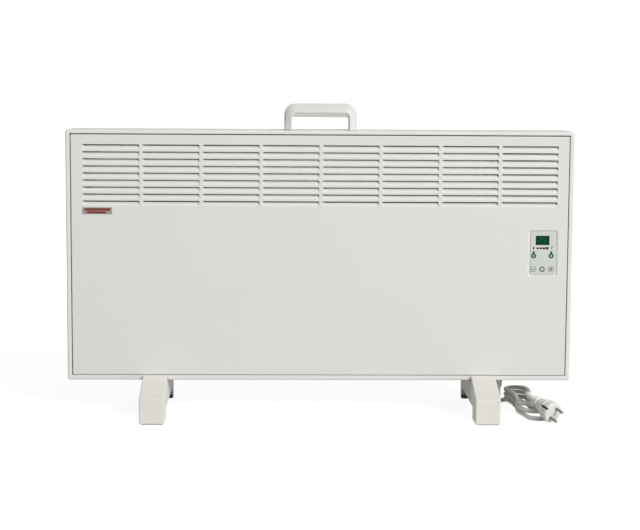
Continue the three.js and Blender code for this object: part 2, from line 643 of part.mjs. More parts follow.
function heatingRod() {
  const { from, to, z, y, rod } = ELEMENT;
  const pin = ROD_END + 9;
  return join(
    cylinder(rod, 'x', from - ROD_END, to + ROD_END, y, z, 16),
    cylinder(1.6, 'x', from - pin, to + pin, y, z, 8),
  );
}

function elementBracket(side) {
  const { width, thick, foot, top } = BRACKET;
  const { z, y, rod } = ELEMENT;
  const face = side < 0 ? ELEMENT.from - CLEAR : ELEMENT.to + CLEAR;
  const outer = face + side * thick;
  const [x0, x1] = side < 0 ? [outer, face] : [face, outer];
  const end = outer + side * foot;
  const low = BOTTOM + SHEET + CLEAR;
  const plate = box(x0, x1, y - width / 2, y + width / 2, low, top);
  const flange = box(Math.min(end, face), Math.max(end, face), y - width / 2, y + width / 2,
    low, low + thick);
  return cut(join(plate, flange), cylinder(rod + CLEAR, 'x', x0 - 1, x1 + 1, y, z, 16));
}

function rearShield() {
  const { from, to, low, high, flange } = SHIELD;
  const y0 = SHIELD_FRONT;
  return join(
    box(from, to, y0, y0 + SHEET, low, high),
    box(from, to, y0, y0 + flange, low, low + SHEET),
    box(from, to, y0, y0 + flange, high - SHEET, high),
  );
}

function partition() {
  const { x, front, flange, low, high, notchLow, notchHigh } = PARTITION;
  const web = box(x - SHEET, x, front, REAR_LIMIT, low, high);
  return cut(join(
    web,
    box(x - flange, x, REAR_LIMIT - SHEET, REAR_LIMIT, low, high),
    box(x - flange, x, front, REAR_LIMIT, low, low + SHEET),
  ), box(x - 2, x + 1, front - 1, front + 14, notchLow, notchHigh));
}

function cutoutBracket() {
  const { x, z, shelf, width } = CUTOUT_PLACE;
  const back = SHIELD_FRONT - CLEAR;
  return join(
    box(x - width / 2, x + width / 2, back - SHEET, back, z, z + 24),
    box(x - width / 2, x + width / 2, back - shelf, back, z, z + SHEET),
  );
}

function thermalCutout() {
  const { x, z, radius, shelf } = CUTOUT_PLACE;
  const y = SHIELD_FRONT - CLEAR - shelf + radius + 2;
  const seat = z + SHEET + CLEAR;
  return join(
    cylinder(radius, 'z', seat, seat + 9, x, y, 20),
    box(x - 6, x - 5, y - 3, y + 3, seat + 8, seat + 16),
    box(x + 5, x + 6, y - 3, y + 3, seat + 8, seat + 16),
  );
}

function sensorClip() {
  const { x, y, z, radius } = SENSOR_PLACE;
  return cut(
    box(x - 5, x + 5, y - 5.5, y + 5.5, BOTTOM + SHEET + CLEAR, z + 4),
    cylinder(radius + CLEAR, 'x', x - 6, x + 6, y, z, 12),
    box(x - 6, x + 6, y - 1.8, y + 1.8, z, z + 5),
  );
}

// ---------------------------------------------------------------- mains inlet and wiring
function terminalBlock() {
  const { y, z, depth, width, height } = TERMINAL;
  const x0 = PARTITION.x + CLEAR;
  const wells = [-1, 0, 1].map(row => cylinder(2.4, 'x', x0 + depth - 5, x0 + depth + 1,
    y + 7, z + row * 12, 10));
  return cut(box(x0, x0 + depth, y - width / 2, y + width / 2, z - height / 2, z + height / 2), ...wells);
}

function cordClamp() {
  const { z, width, thick, front } = CLAMP;
  const { x, y } = GLAND;
  const left = PARTITION.x + CLEAR;
  return cut(
    box(left, left + width, y - front, REAR_LIMIT, z, z + thick),
    cylinder(CORD.radius + CLEAR, 'z', z - 1, z + thick + 1, x, y, 16),
  );
}

function cordGland() {
  const { flange, hole, tip, end, top } = GLAND;
  const bore = CORD.radius + CLEAR;
  const seat = BOTTOM - CLEAR;
  const outline = [
    [bore, end], [tip, end], [hole, seat - 3], [flange, seat - 2.4], [flange, seat], [hole, seat],
    [hole, top], [bore, top], [bore, end],
  ].map(p => new THREE.Vector2(...p));
  return new THREE.LatheGeometry(outline, 18).rotateX(Math.PI / 2).translate(GLAND.x, GLAND.y, 0);
}

function glandNut() {
  const z0 = BOTTOM + SHEET + CLEAR;
  const hexagon = cylinder(12.5, 'z', z0, z0 + 4, GLAND.x, GLAND.y, 6);
  return cut(hexagon, cylinder(GLAND.hole + CLEAR, 'z', z0 - 1, z0 + 5, GLAND.x, GLAND.y, 18));
}

function addInner() {
  add('heating_element', finnedElement(), ALUMINIUM);
  add('heating_rod', heatingRod(), DARK_STEEL);
  add('left_element_bracket', elementBracket(-1), ZINC);
  add('right_element_bracket', elementBracket(1), ZINC);
  add('rear_heat_shield', rearShield(), ZINC);
  add('control_partition', partition(), ZINC);
  add('cutout_bracket', cutoutBracket(), ZINC);
  add('thermal_cutout', thermalCutout(), BLACK_PLASTIC);
  add('sensor_clip', sensorClip(), GREY_PLASTIC);
  const { x, y, z, radius, length } = SENSOR_PLACE;
  add('room_sensor', cylinder(radius, 'x', x - length / 2, x + length / 2, y, z, 12), BLACK_PLASTIC);
  add('terminal_block', terminalBlock(), BLACK_PLASTIC);
  add('cord_clamp', cordClamp(), GREY_PLASTIC);
  const low = BOTTOM + SHEET + CLEAR;
  add('earth_stud', cylinder(EARTH.radius, 'z', low, low + EARTH.height, EARTH.x, EARTH.y, 12), ZINC);
  add('earth_nut', cut(cylinder(5, 'z', low + 3, low + 7, EARTH.x, EARTH.y, 6),
    cylinder(EARTH.radius + CLEAR, 'z', low, low + 10, EARTH.x, EARTH.y, 12)), ZINC);
  add('internal_mains_lead', routeTube(INNER_LEAD_ROUTE, CORD.radius, CORD.sides, 8), CORD_WHITE);
  for (const [name, color, route] of CONDUCTORS) {
    const tube = routeTube(route, CONDUCTOR.radius, CONDUCTOR.sides, 5);
    add(name, tube, { color, roughness: 0.5, metalness: 0 });
  }
}

// ---------------------------------------------------------------- mains lead
function smooth(t) {
  return t * t * (3 - 2 * t);
}

// The hank's loops lie on each other, each with its front fold a step behind the one below it.
// A loop runs forward on the right, folds, comes back on the left climbing one layer, and folds again.
function hankPoint(turns) {
  const { run, fold, waist, layer, stepBack } = HANK;
  const k = Math.floor(turns);
  const length = run - stepBack * k;
  const shared = run - stepBack * (Math.floor(HANK.to) - 1);
  const rear = -run / 2;
  const arc = Math.PI * fold;
  const place = (turns - k) * 2 * (length + arc);
  const share = along => THREE.MathUtils.clamp((along - rear) / shared, 0, 1);
  const half = along => fold * (1 - waist * Math.sin(Math.PI * share(along)) ** 2);
  const base = REST + k * layer;
  if (place < length) return hankPlace(half(rear + place), rear + place, base);
  if (place < length + arc) {
    const angle = (place - length) / fold;
    return hankPlace(fold * Math.cos(angle), rear + length + fold * Math.sin(angle), base);
  }
  if (place < 2 * length + arc) {
    const along = rear + 2 * length + arc - place;
    return hankPlace(-half(along), along, base + layer * smooth(1 - share(along)));
  }
  const angle = (place - 2 * length - arc) / fold;
  return hankPlace(-fold * Math.cos(angle), rear - fold * Math.sin(angle), base + layer);
}

// The hank points forward and, by its heading in degrees, to the right.
function hankPlace(across, along, z) {
  const heading = THREE.MathUtils.degToRad(HANK.heading);
  const right = [Math.cos(heading), Math.sin(heading)];
  return [HANK.x + across * right[0] + along * right[1], HANK.y + across * right[1] - along * right[0], z];
}

function hankPoints(perTurn) {
  const count = Math.round((HANK.to - HANK.from) * perTurn);
  return Array.from({ length: count + 1 },
    (_, i) => new THREE.Vector3(...hankPoint(HANK.from + (HANK.to - HANK.from) * i / count)));
}

function headingAt(points, i) {
  const before = points[Math.max(i - 1, 0)];
  const after = points[Math.min(i + 1, points.length - 1)];
  return after.clone().sub(before).normalize();
}

// A closed tube whose rings stand square to the route.
function ringTube(points, radius, sides) {
  const vertices = [];
  points.forEach((point, i) => {
    const ahead = headingAt(points, i);
    const aside = new THREE.Vector3(-ahead.y, ahead.x, 0).normalize();
    const above = new THREE.Vector3().crossVectors(ahead, aside);
    for (let k = 0; k < sides; k++) {
      const angle = 2 * Math.PI * (k + 0.5) / sides;
      vertices.push(...point.clone().addScaledVector(aside, radius * Math.cos(angle))
        .addScaledVector(above, radius * Math.sin(angle)).toArray());
    }
  });
  const faces = [];
  for (let i = 0; i + 1 < points.length; i++) {
    for (let k = 0; k < sides; k++) {
      const [a, b] = [i * sides + k, i * sides + (k + 1) % sides];
      faces.push(a, b, b + sides, a, b + sides, a + sides);
    }
  }
  const last = (points.length - 1) * sides;
  for (let k = 1; k + 1 < sides; k++) faces.push(0, k + 1, k, last, last + k, last + k + 1);
  const geometry = new THREE.BufferGeometry();
  geometry.setAttribute('position', new THREE.Float32BufferAttribute(vertices, 3));
  geometry.setIndex(faces);
  geometry.computeVertexNormals();
  return geometry;
}

function leastSelfGap(points, diameter) {
  let least = Infinity;
  const lengths = [0];
  for (let i = 1; i < points.length; i++) lengths.push(lengths[i - 1] + points[i].distanceTo(points[i - 1]));
  for (let i = 0; i < points.length; i++) {
    for (let j = i + 1; j < points.length; j++) {
      if (lengths[j] - lengths[i] > 4 * diameter) least = Math.min(least, points[i].distanceTo(points[j]));
    }
  }
  return least - diameter;
}

// The plug lies on the floor with its pins away from the hank and its neck on the top loop.
function plugAxis() {
  const heading = THREE.MathUtils.degToRad(PLUG.heading);
  const dip = THREE.MathUtils.degToRad(PLUG.dip);
  const level = Math.cos(dip);
  return new THREE.Vector3(Math.cos(heading) * level, -Math.sin(heading) * level, -Math.sin(dip));
}

function plugPlace(back) {
  return new THREE.Vector3(...PLUG.face).addScaledVector(plugAxis(), -back);
}

// Turns a shape drawn with the pins along +Z and side by side along X into its place.
function setPlug(geometry) {
  const ahead = plugAxis();
  const level = new THREE.Vector3(-ahead.y, ahead.x, 0).normalize();
  const above = new THREE.Vector3().crossVectors(ahead, level);
  const roll = THREE.MathUtils.degToRad(PIN.roll);
  const aside = level.multiplyScalar(Math.cos(roll)).addScaledVector(above, Math.sin(roll));
  const third = new THREE.Vector3().crossVectors(ahead, aside);
  const frame = new THREE.Matrix4().makeBasis(aside, third, ahead).setPosition(...PLUG.face);
  return geometry.applyMatrix4(frame);
}

function plugBody() {
  const { profile, groove, grooveDepth, grooveLength, length } = PLUG;
  const outline = [[0, 0], ...profile.map(([back, radius]) => [radius, -back]), [0, -length]]
    .reverse().map(p => new THREE.Vector2(...p));
  const body = new THREE.LatheGeometry(outline, 20).rotateX(Math.PI / 2);
  const holes = [-1, 1].map(side => cylinder(PIN.radius + CLEAR, 'z', -PIN.sunk - CLEAR, 1,
    side * PIN.spacing / 2, 0, 12));
  const outer = profile[1][1];
  const grooves = [-1, 1].map(side => box(-groove / 2, groove / 2,
    side > 0 ? outer - grooveDepth : -outer - 1, side > 0 ? outer + 1 : -outer + grooveDepth,
    -grooveLength, 1));
  return setPlug(cut(body, ...holes, ...grooves));
}

function plugPin(side) {
  const outline = [
    [0, -PIN.sunk], [PIN.radius, -PIN.sunk], [PIN.radius, PIN.length - 2], [PIN.radius * 0.6, PIN.length],
    [0, PIN.length],
  ].map(p => new THREE.Vector2(...p));
  const pin = new THREE.LatheGeometry(outline, 12).rotateX(Math.PI / 2);
  return setPlug(pin.translate(side * PIN.spacing / 2, 0, 0));
}

function routeTube(route, radius, sides, spacing) {
  const curve = new THREE.CatmullRomCurve3(route.map(p => new THREE.Vector3(...p)), false, 'centripetal');
  return ringTube(curve.getSpacedPoints(Math.round(curve.getLength() / spacing)), radius, sides);
}

function addMainsLead() {
  const loops = hankPoints(HANK.stepsPerTurn);
  const [first, last] = [loops[0], loops.at(-1)];
  const start = headingAt(loops, 0);
  const end = headingAt(loops, loops.length - 1);
  const lead = [...LEAD_ROUTE, first.clone().addScaledVector(start, -8),
    first.clone().addScaledVector(start, -CLEAR)];
  const tail = [last.clone().addScaledVector(end, CLEAR), last.clone().addScaledVector(end, 9), ...TAIL_ROUTE,
    plugPlace(PLUG.length + 9), plugPlace(PLUG.length + CLEAR)];
  add('supply_cord_lead', routeTube(lead, CORD.radius, CORD.sides, 10), CORD_WHITE);
  add('supply_cord_hank', ringTube(loops, CORD.radius, HANK.sides), CORD_WHITE);
  add('supply_cord_tail', routeTube(tail, CORD.radius, CORD.sides, 8), CORD_WHITE);
  add('plug_body', plugBody(), CORD_WHITE);
  add('plug_pin_upper', plugPin(1), ZINC);
  add('plug_pin_lower', plugPin(-1), ZINC);
  const gap = leastSelfGap(hankPoints(120), 2 * CORD.radius);
  console.log('least gap of the hank to itself:', gap.toFixed(2), 'mm');
}

// ---------------------------------------------------------------- build
add('case_top', caseTop(), WHITE_STEEL);
add('case_bottom', caseBottom(), WHITE_STEEL);
add('case_left_side', caseSide(-1), WHITE_STEEL);
add('case_right_side', caseSide(1), WHITE_STEEL);
add('rear_panel', rearPanel(), WHITE_STEEL);
add('front_panel', frontPanel(), WHITE_STEEL);
add('label_plate', labelPlate(), ZINC);
addHandle();
addFeet();
addKeyPanel();
addInner();
add('cord_gland', cordGland(), GREY_PLASTIC);
add('gland_nut', glandNut(), GREY_PLASTIC);
addMainsLead();

export default object;
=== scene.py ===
"""Looks of a wall panel convector heater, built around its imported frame.

Pieces are modelled in millimetres in the frame's own axes and scaled to metres as they are made.
X runs along the heater, -Y is the front, Z is up and the floor is at zero.
"""
import math

import bmesh
import bpy
from mathutils import Matrix, Vector
from mathutils.geometry import convex_hull_2d


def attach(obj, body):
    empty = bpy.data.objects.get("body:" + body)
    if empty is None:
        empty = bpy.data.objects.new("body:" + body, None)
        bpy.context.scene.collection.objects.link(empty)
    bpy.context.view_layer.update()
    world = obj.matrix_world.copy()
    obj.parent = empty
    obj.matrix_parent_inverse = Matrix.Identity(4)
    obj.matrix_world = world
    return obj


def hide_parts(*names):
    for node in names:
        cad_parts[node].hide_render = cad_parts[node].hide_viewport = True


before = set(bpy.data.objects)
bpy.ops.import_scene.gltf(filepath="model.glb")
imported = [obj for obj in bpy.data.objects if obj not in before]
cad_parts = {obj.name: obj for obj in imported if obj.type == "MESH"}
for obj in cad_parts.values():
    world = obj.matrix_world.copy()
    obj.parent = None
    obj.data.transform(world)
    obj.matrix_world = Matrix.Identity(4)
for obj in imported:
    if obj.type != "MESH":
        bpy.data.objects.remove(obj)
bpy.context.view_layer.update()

MM = 0.001

# ---------------------------------------------------------------- dimensions, millimetres
SHEET = 1.0
LEFT, RIGHT = -450.0, 450.0
FRONT, BACK = -42.5, 42.5
BOTTOM, TOP = 64.0, 510.0
CASE_CORNER = 4.0
CASE_BEND = 2.5
RIM_SIDE, RIM_TOP, RIM_BOTTOM = 7.7, 6.2, 8.6
RIM_TURN_IN = 14.0
RIM_FOLD = 0.7
REAR_LIP = 12.0
INLET = {"rows": 3, "columns": 16, "length": 40, "width": 6, "pitch": 14, "span": 800}
GLAND_X, GLAND_Y, GLAND_HOLE = 331, 27, 8.3

SEAM_SIDE, SEAM_TOP, SEAM_BOTTOM = 1.4, 1.9, 0.8
PANEL_BEND = 1.4
PANEL_TURN_BACK = 15.0
LOUVRE_ROWS, LOUVRE_COLUMNS = 9, 8
LOUVRE_TOP, LOUVRE_PITCH = 484.8, 12.43
LOUVRE_LEFT, LOUVRE_STEP, LOUVRE_LENGTH = -419.5, 105.93, 99.4
LOUVRE_HEIGHT, LOUVRE_SLIT, LOUVRE_DEPTH, LOUVRE_TAPER = 9.0, 2.3, 4.0, 1.5
SLIT_ROUNDING, BLADE_BEND, BLADE_CORNER = 0.6, 0.3, 0.07

CONTROL_X, CONTROL_Z = 397.1, 294.2
RECESS_WIDTH, RECESS_HEIGHT, RECESS_DEPTH = 54.0, 83.0, 2.0
RECESS_FLOOR_WIDTH, RECESS_FLOOR_HEIGHT = 45.6, 77.4
CUTOUT_WIDTH, CUTOUT_HEIGHT = 43.4, 68.6
OVERLAY_FACE = -41.7
KEY_FACE = -42.1
WINDOW_FACE = -41.6
DISPLAY_X, DISPLAY_Z, DISPLAY_WIDTH, DISPLAY_HEIGHT = -0.8, 23.1, 23.8, 16.0
INK = 0.05

HANDLE_WIDTH, HANDLE_OPENING = 129.0, 100.0
HANDLE_BASE, HANDLE_TOP, HANDLE_BAR = 510.3, 557.0, 24.0
HANDLE_CORNER, HANDLE_INNER = 19.0, 4.0

FOOT_X, FOOT_WIDTH, FOOT_EDGE = 294.0, 44.0, 2.2
FOOT_SIDE = [
    (-130, 1.2), (-78, 1.2), (-78, 22), (97, 22), (114, 1.2), (130, 1.2), (130, 46), (44.8, 72), (42.8, 72),
    (42.8, 63.7), (-42.8, 63.7), (-42.8, 72), (-44.8, 72), (-130, 46),
]
SHOE_TOP, SHOE_LIFT = 6.2, 0.4
FOOT_SCREW_HOLE = 2.3
FOOT_CHANNEL = [(-75, 14), (89, 14), (85, 46), (69, 60.7), (-60, 60.7)]

LABEL_X, LABEL_Z, LABEL_FACE = -394.6, 367.4, -43.3
LABEL_BARS = [(0.2, 2.2, 45.0, 4.4), (-1.4, -2.9, 34.0, 3.8)]  # each x, z, width, height about the plate

# The key panel's marks, x and z about its centre: the dashes' places and heights, and its two round lamps.
LEVEL_Z, LEVEL_WIDTH = 9.1, 4.4
LEVELS = [(-9.2, 2.0), (-3.4, 2.2), (2.2, 2.6), (7.8, 3.4)]
LAMPS, LAMP_MARK = [(-16.4, 1.9), (15.3, 1.8)], 1.9

# A black sheet behind the upper rear vents: painted shade, so the heater's inside looks dark through the louvre slits.
PAINTED_SHADE_SCREEN = {"x": (298, 400), "y": (40.0, 40.15), "z": (448, 478)}

# ---------------------------------------------------------------- the mains lead, metres
CORD_DIAMETER, CORD_STEP = 0.008, 0.003
REST = 0.0041
LEAD_ROUTE = [
    (0.331, 0.027, 0.0393), (0.331, 0.0272, 0.035), (0.3312, 0.0288, 0.0255), (0.3318, 0.034, 0.0155),
    (0.3328, 0.042, 0.0082), (0.334, 0.051, 0.0046), (0.3358, 0.061, REST), (0.3396, 0.072, REST),
    (0.347, 0.0806, REST), (0.3575, 0.084, REST), (0.3682, 0.0806, REST), (0.376, 0.0716, REST),
    (0.381, 0.0595, REST),
]
TAIL_ROUTE = [
    (0.3864, 0.014, 0.0304), (0.3836, -0.004, 0.0324), (0.379, -0.020, 0.0354), (0.375, -0.034, 0.0382),
]
HANK = {
    "x": 0.3792, "y": -0.0091, "heading": math.radians(11), "run": 0.124, "fold": 0.0195, "waist": 0.28,
    "layer": 0.0086, "step_back": 0.024, "from": 0.06, "to": 3.06, "points_per_turn": 60,
}
TIE_WIDTH, TIE_THICK = 4.6, 0.9

# The plug: its face's centre, where its pins point, and how far it is rolled about that line.
PLUG_FACE = Vector((411.5, -111.9, 18.8))
PLUG_HEADING, PLUG_DIP, PLUG_ROLL = math.radians(61.6), math.radians(14.4), math.radians(59.1)
PLUG_LENGTH = 66.0
# Its ribbed neck, each rib as shares of its span and how far it is from the rib's own radius, and then its
# grip and head, as height and radius back from the face.
PLUG_RIBS, PLUG_NECK_END = 4, -40.0
RIB_SHAPE = [(0.1, 0), (0.2, 0.4), (0.5, 0.4), (0.6, 0), (0.66, -1.7), (0.94, -1.5)]
PLUG_HEAD = [
    (-39.2, 10.2), (-37, 11.6), (-33, 12.6), (-29, 13.0), (-27, 13.1), (-25.6, 13.6), (-23, 15.4),
    (-20.5, 17.2), (-18.5, 17.9), (-17.2, 18.0), (-16.4, 17.1), (-14.6, 17.0), (-13.6, 17.6), (-12.4, 18.5), (-3, 18.6),
    (-1.2, 18.2), (-0.3, 17.2), (0, 16.2),
]
PIN_SPACING, PIN_LENGTH, PIN_RADIUS, PIN_SUNK = 19.0, 19.0, 2.4, 6.0

# ---------------------------------------------------------------- the photograph's view
CAMERA_PLACE = (-0.066479, -3.084928, 0.638203)
CAMERA_YAW, CAMERA_PITCH, CAMERA_ROLL = 0.0218, 0.11977, 0.00605
LENS = 96.89


def aim_camera():
    data = bpy.data.cameras.new("camera")
    data.sensor_width = 36
    data.lens = LENS
    data.clip_start = 0.05
    data.clip_end = 60
    camera = bpy.data.objects.new("camera", data)
    bpy.context.scene.collection.objects.link(camera)
    turn = Matrix.Rotation(-CAMERA_YAW, 4, "Z") @ Matrix.Rotation(math.pi / 2 - CAMERA_PITCH, 4, "X")
    camera.matrix_world = Matrix.Translation(CAMERA_PLACE) @ turn @ Matrix.Rotation(CAMERA_ROLL, 4, "Z")
    bpy.context.scene.camera = camera


# ---------------------------------------------------------------- materials
def linear(red, green, blue):
    """A colour read from a picture, 0 to 255, as the linear values that shaders use."""
    def channel(value):
        share = value / 255
        return share / 12.92 if share <= 0.04045 else ((share + 0.055) / 1.055) ** 2.4
    return (channel(red), channel(green), channel(blue), 1)


def finish(name, colour, roughness, metallic=0.0, shade=0.03, patch=9.0, grain=700.0, bump=0.04, gloss=0.5,
           stretch=(1, 1, 1), coat=0.0):
    """A surface whose colour drifts a little over patches, with a fine grain in its height and roughness."""
    made = bpy.data.materials.new(name)
    made.use_nodes = True
    nodes, links = made.node_tree.nodes, made.node_tree.links
    shader = nodes["Principled BSDF"]
    shader.inputs["Metallic"].default_value = metallic
    shader.inputs["Specular IOR Level"].default_value = gloss
    shader.inputs["Coat Weight"].default_value = coat
    place = nodes.new("ShaderNodeTexCoord")
    scale = nodes.new("ShaderNodeMapping")
    scale.inputs["Scale"].default_value = stretch
    links.new(place.outputs["Object"], scale.inputs["Vector"])
    drift = nodes.new("ShaderNodeTexNoise")
    drift.inputs["Scale"].default_value = patch
    drift.inputs["Detail"].default_value = 3
    links.new(scale.outputs["Vector"], drift.inputs["Vector"])
    tone = nodes.new("ShaderNodeMix")
    tone.data_type = "RGBA"
    tone.inputs["A"].default_value = [c * (1 - shade) for c in colour[:3]] + [1]
    tone.inputs["B"].default_value = [min(1, c * (1 + shade)) for c in colour[:3]] + [1]
    links.new(drift.outputs["Fac"], tone.inputs["Factor"])
    links.new(tone.outputs["Result"], shader.inputs["Base Color"])
    fine = nodes.new("ShaderNodeTexNoise")
    fine.inputs["Scale"].default_value = grain
    fine.inputs["Detail"].default_value = 2
    links.new(scale.outputs["Vector"], fine.inputs["Vector"])
    polish = nodes.new("ShaderNodeMapRange")
    polish.inputs["To Min"].default_value = roughness * 0.88
    polish.inputs["To Max"].default_value = min(1.0, roughness * 1.12)
    links.new(fine.outputs["Fac"], polish.inputs["Value"])
    links.new(polish.outputs["Result"], shader.inputs["Roughness"])
    relief = nodes.new("ShaderNodeBump")
    relief.inputs["Strength"].default_value = bump
    relief.inputs["Distance"].default_value = 0.0003
    links.new(fine.outputs["Fac"], relief.inputs["Height"])
    links.new(relief.outputs["Normal"], shader.inputs["Normal"])
    return made


FINISHES = {
    "white_steel": finish("powder_coated_steel", linear(218, 217, 212), 0.42, shade=0.012, grain=900,
                          bump=0.03),
    "white_plastic": finish("moulded_white", linear(221, 219, 211), 0.5, shade=0.015, grain=900, bump=0.05,
                            gloss=0.35),
    "inner_white_plastic": finish("inner_moulded_white", linear(212, 211, 206), 0.5),
    "overlay_grey": finish("printed_film", linear(203, 205, 200), 0.38, shade=0.02, patch=60, bump=0.02),
    "display_glass": finish("tinted_window", linear(2, 30, 15), 0.12, shade=0.1, patch=80, bump=0.0,
                            gloss=0.06),
    "key_green": finish("green_key", linear(30, 98, 38), 0.45, shade=0.08, patch=300, gloss=0.25),
    "key_grey": finish("grey_key", linear(211, 214, 208), 0.42, shade=0.02, patch=200),
    "board_green": finish("solder_mask", linear(22, 84, 46), 0.4, shade=0.12, patch=120, coat=0.2),
    "black_plastic": finish("moulded_black", linear(24, 24, 25), 0.5, shade=0.1, patch=80),
    "grey_plastic": finish("moulded_grey", linear(140, 143, 144), 0.5),
    "label_metal": finish("foil_plate", linear(146, 140, 132), 0.38, metallic=0.4, patch=90,
                          stretch=(1, 1, 12)),
    "zinc_steel": finish("zinc_plated", linear(188, 190, 192), 0.3, metallic=1, shade=0.06, patch=160),
    "aluminium": finish("extruded_aluminium", linear(198, 199, 201), 0.36, metallic=1, patch=40,
                        stretch=(0.05, 1, 1)),
    "dark_steel": finish("heat_tinted_steel", linear(96, 88, 80), 0.42, metallic=1, shade=0.15, patch=50),
    "rubber": finish("black_rubber", linear(27, 27, 27), 0.8, shade=0.15, patch=120, bump=0.15),
    "cord_white": finish("cord_sheath", linear(229, 228, 224), 0.4, shade=0.025, patch=60, bump=0.05),
    "plug_white": finish("plug_moulding", linear(224, 223, 219), 0.4, shade=0.02, patch=60, bump=0.05),
    "pin_nickel": finish("nickel_pin", linear(136, 129, 118), 0.26, metallic=1, shade=0.08, patch=200),
    "wire_brown": finish("brown_sheath", linear(108, 60, 34), 0.45, patch=90),
    "wire_blue": finish("blue_sheath", linear(42, 80, 156), 0.45, patch=90),
    "wire_green": finish("green_sheath", linear(128, 154, 44), 0.45, shade=0.2, patch=400),
}
# The case wrap, whose coat is the panel's own paint made lighter as painted light on the rim, the handle, and the inks
# of the key panel, its display and the label.
TRIM = {
    # The same powder coat as the panel, painted lighter: painted light on the rim.
    "case": finish("case_coat_painted_lighter", linear(222, 221, 217), 0.42, shade=0.012, grain=900, bump=0.03),
    "handle": finish("handle_moulding", linear(213, 214, 209), 0.5, shade=0.015, grain=900, bump=0.05,
                     gloss=0.35),
    "pale": finish("pale_ink", linear(176, 204, 172), 0.4, patch=200, bump=0.0, gloss=0.1),
    "grey_green": finish("grey_green_ink", linear(70, 100, 76), 0.4, patch=200, bump=0.0, gloss=0.06),
    "deep_green": finish("deep_green_ink", linear(12, 66, 26), 0.4, patch=200, bump=0.0, gloss=0.06),
    "black": finish("black_ink", linear(5, 8, 6), 0.5, patch=200, bump=0.0, gloss=0.04),
    "red": finish("red_ink", linear(124, 58, 52), 0.45, patch=200, bump=0.0, gloss=0.1),
    "display": finish("display_field", linear(0, 64, 29), 0.2, shade=0.12, patch=260, bump=0.0, gloss=0.06),
    "segment": finish("display_segment", linear(12, 104, 52), 0.2, shade=0.05, patch=260, bump=0.0,
                      gloss=0.06),
}


# ---------------------------------------------------------------- mesh helpers
def piece_from(bm, name, material, body="heater", replaces=(), smooth_to=38):
    """A piece from a mesh drawn in millimetres: smooth but for the edges sharper than smooth_to degrees."""
    bmesh.ops.remove_doubles(bm, verts=bm.verts, dist=1e-4)
    bmesh.ops.scale(bm, vec=(MM, MM, MM), verts=bm.verts)
    soften(bm, smooth_to)
    mesh = bpy.data.meshes.new(name)
    bm.to_mesh(mesh)
    bm.free()
    piece = bpy.data.objects.new(name, mesh)
    bpy.context.scene.collection.objects.link(piece)
    mesh.materials.append(material)
    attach(piece, body)
    if replaces:
        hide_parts(*replaces)
    return piece


def soften(bm, smooth_to):
    limit = math.radians(smooth_to)
    for face in bm.faces:
        face.smooth = True
    for edge in bm.edges:
        edge.smooth = len(edge.link_faces) == 2 and edge.calc_face_angle(math.pi) < limit


def loft(bm, rings):
    """Faces between closed rings of points, each ring as long as the others."""
    rows = [[bm.verts.new(point) for point in ring] for ring in rings]
    for low, high in zip(rows, rows[1:]):
        for i in range(len(low)):
            j = (i + 1) % len(low)
            bm.faces.new((low[i], low[j], high[j], high[i]))
    return rows


def rounded_loop(x0, x1, z0, z1, radius, steps=6):
    """Points round a rectangle, anticlockwise from its lower right corner, steps + 1 at each corner."""
    loop = []
    corners = (
        (x1 - radius, z0 + radius, -90), (x1 - radius, z1 - radius, 0),
        (x0 + radius, z1 - radius, 90), (x0 + radius, z0 + radius, 180),
    )
    for x, z, start in corners:
        for i in range(steps + 1):
            angle = math.radians(start + 90 * i / steps)
            loop.append((x + radius * math.cos(angle), z + radius * math.sin(angle)))
    return loop


def box_into(bm, x0, x1, y0, y1, z0, z1):
    made = bmesh.ops.create_cube(bm, size=1)
    scale = Matrix.Diagonal((x1 - x0, y1 - y0, z1 - z0, 1))
    move = Matrix.Translation(((x0 + x1) / 2, (y0 + y1) / 2, (z0 + z1) / 2))
    bmesh.ops.transform(bm, matrix=move @ scale, verts=made["verts"])


def cylinder_into(bm, radius, start, end, x, y, sides=24):
    """A closed upright cylinder from the height start to the height end."""
    made = bmesh.ops.create_cone(bm, cap_ends=True, segments=sides, radius1=radius, radius2=radius,
                                 depth=end - start)
    bmesh.ops.translate(bm, vec=(x, y, (start + end) / 2), verts=made["verts"])


def prism_into(bm, outline, thick, place):
    """A closed slab from an outline of (u, v) points, which place(u, v, t) puts at both ends of its thickness."""
    low = [bm.verts.new(place(u, v, 0)) for u, v in outline]
    high = [bm.verts.new(place(u, v, thick)) for u, v in outline]
    bm.faces.new(low)
    bm.faces.new(high[::-1])
    for i in range(len(low)):
        j = (i + 1) % len(low)
        bm.faces.new((low[j], low[i], high[i], high[j]))


def cut_with(piece, tools_bm):
    """Takes the closed solids of tools_bm, in millimetres, out of a piece."""
    bmesh.ops.scale(tools_bm, vec=(MM, MM, MM), verts=tools_bm.verts)
    bmesh.ops.recalc_face_normals(tools_bm, faces=tools_bm.faces)
    mesh = bpy.data.meshes.new("tool")
    tools_bm.to_mesh(mesh)
    tools_bm.free()
    tool = bpy.data.objects.new("tool", mesh)
    bpy.context.scene.collection.objects.link(tool)
    modifier = piece.modifiers.new("cut", "BOOLEAN")
    modifier.operation = "DIFFERENCE"
    modifier.solver = "EXACT"
    modifier.object = tool
    bake_modifiers(piece)
    bpy.data.objects.remove(tool)


def bake_modifiers(piece):
    """Makes what a piece's modifiers give its own mesh."""
    depsgraph = bpy.context.evaluated_depsgraph_get()
    mesh = bpy.data.meshes.new_from_object(piece.evaluated_get(depsgraph))
    piece.modifiers.clear()
    piece.data = mesh


def add_bevel(piece, width, segments=3, angle=30):
    bevel = piece.modifiers.new("bevel", "BEVEL")
    bevel.width = width * MM
    bevel.segments = segments
    bevel.limit_method = "ANGLE"
    bevel.angle_limit = math.radians(angle)
    bevel.harden_normals = True


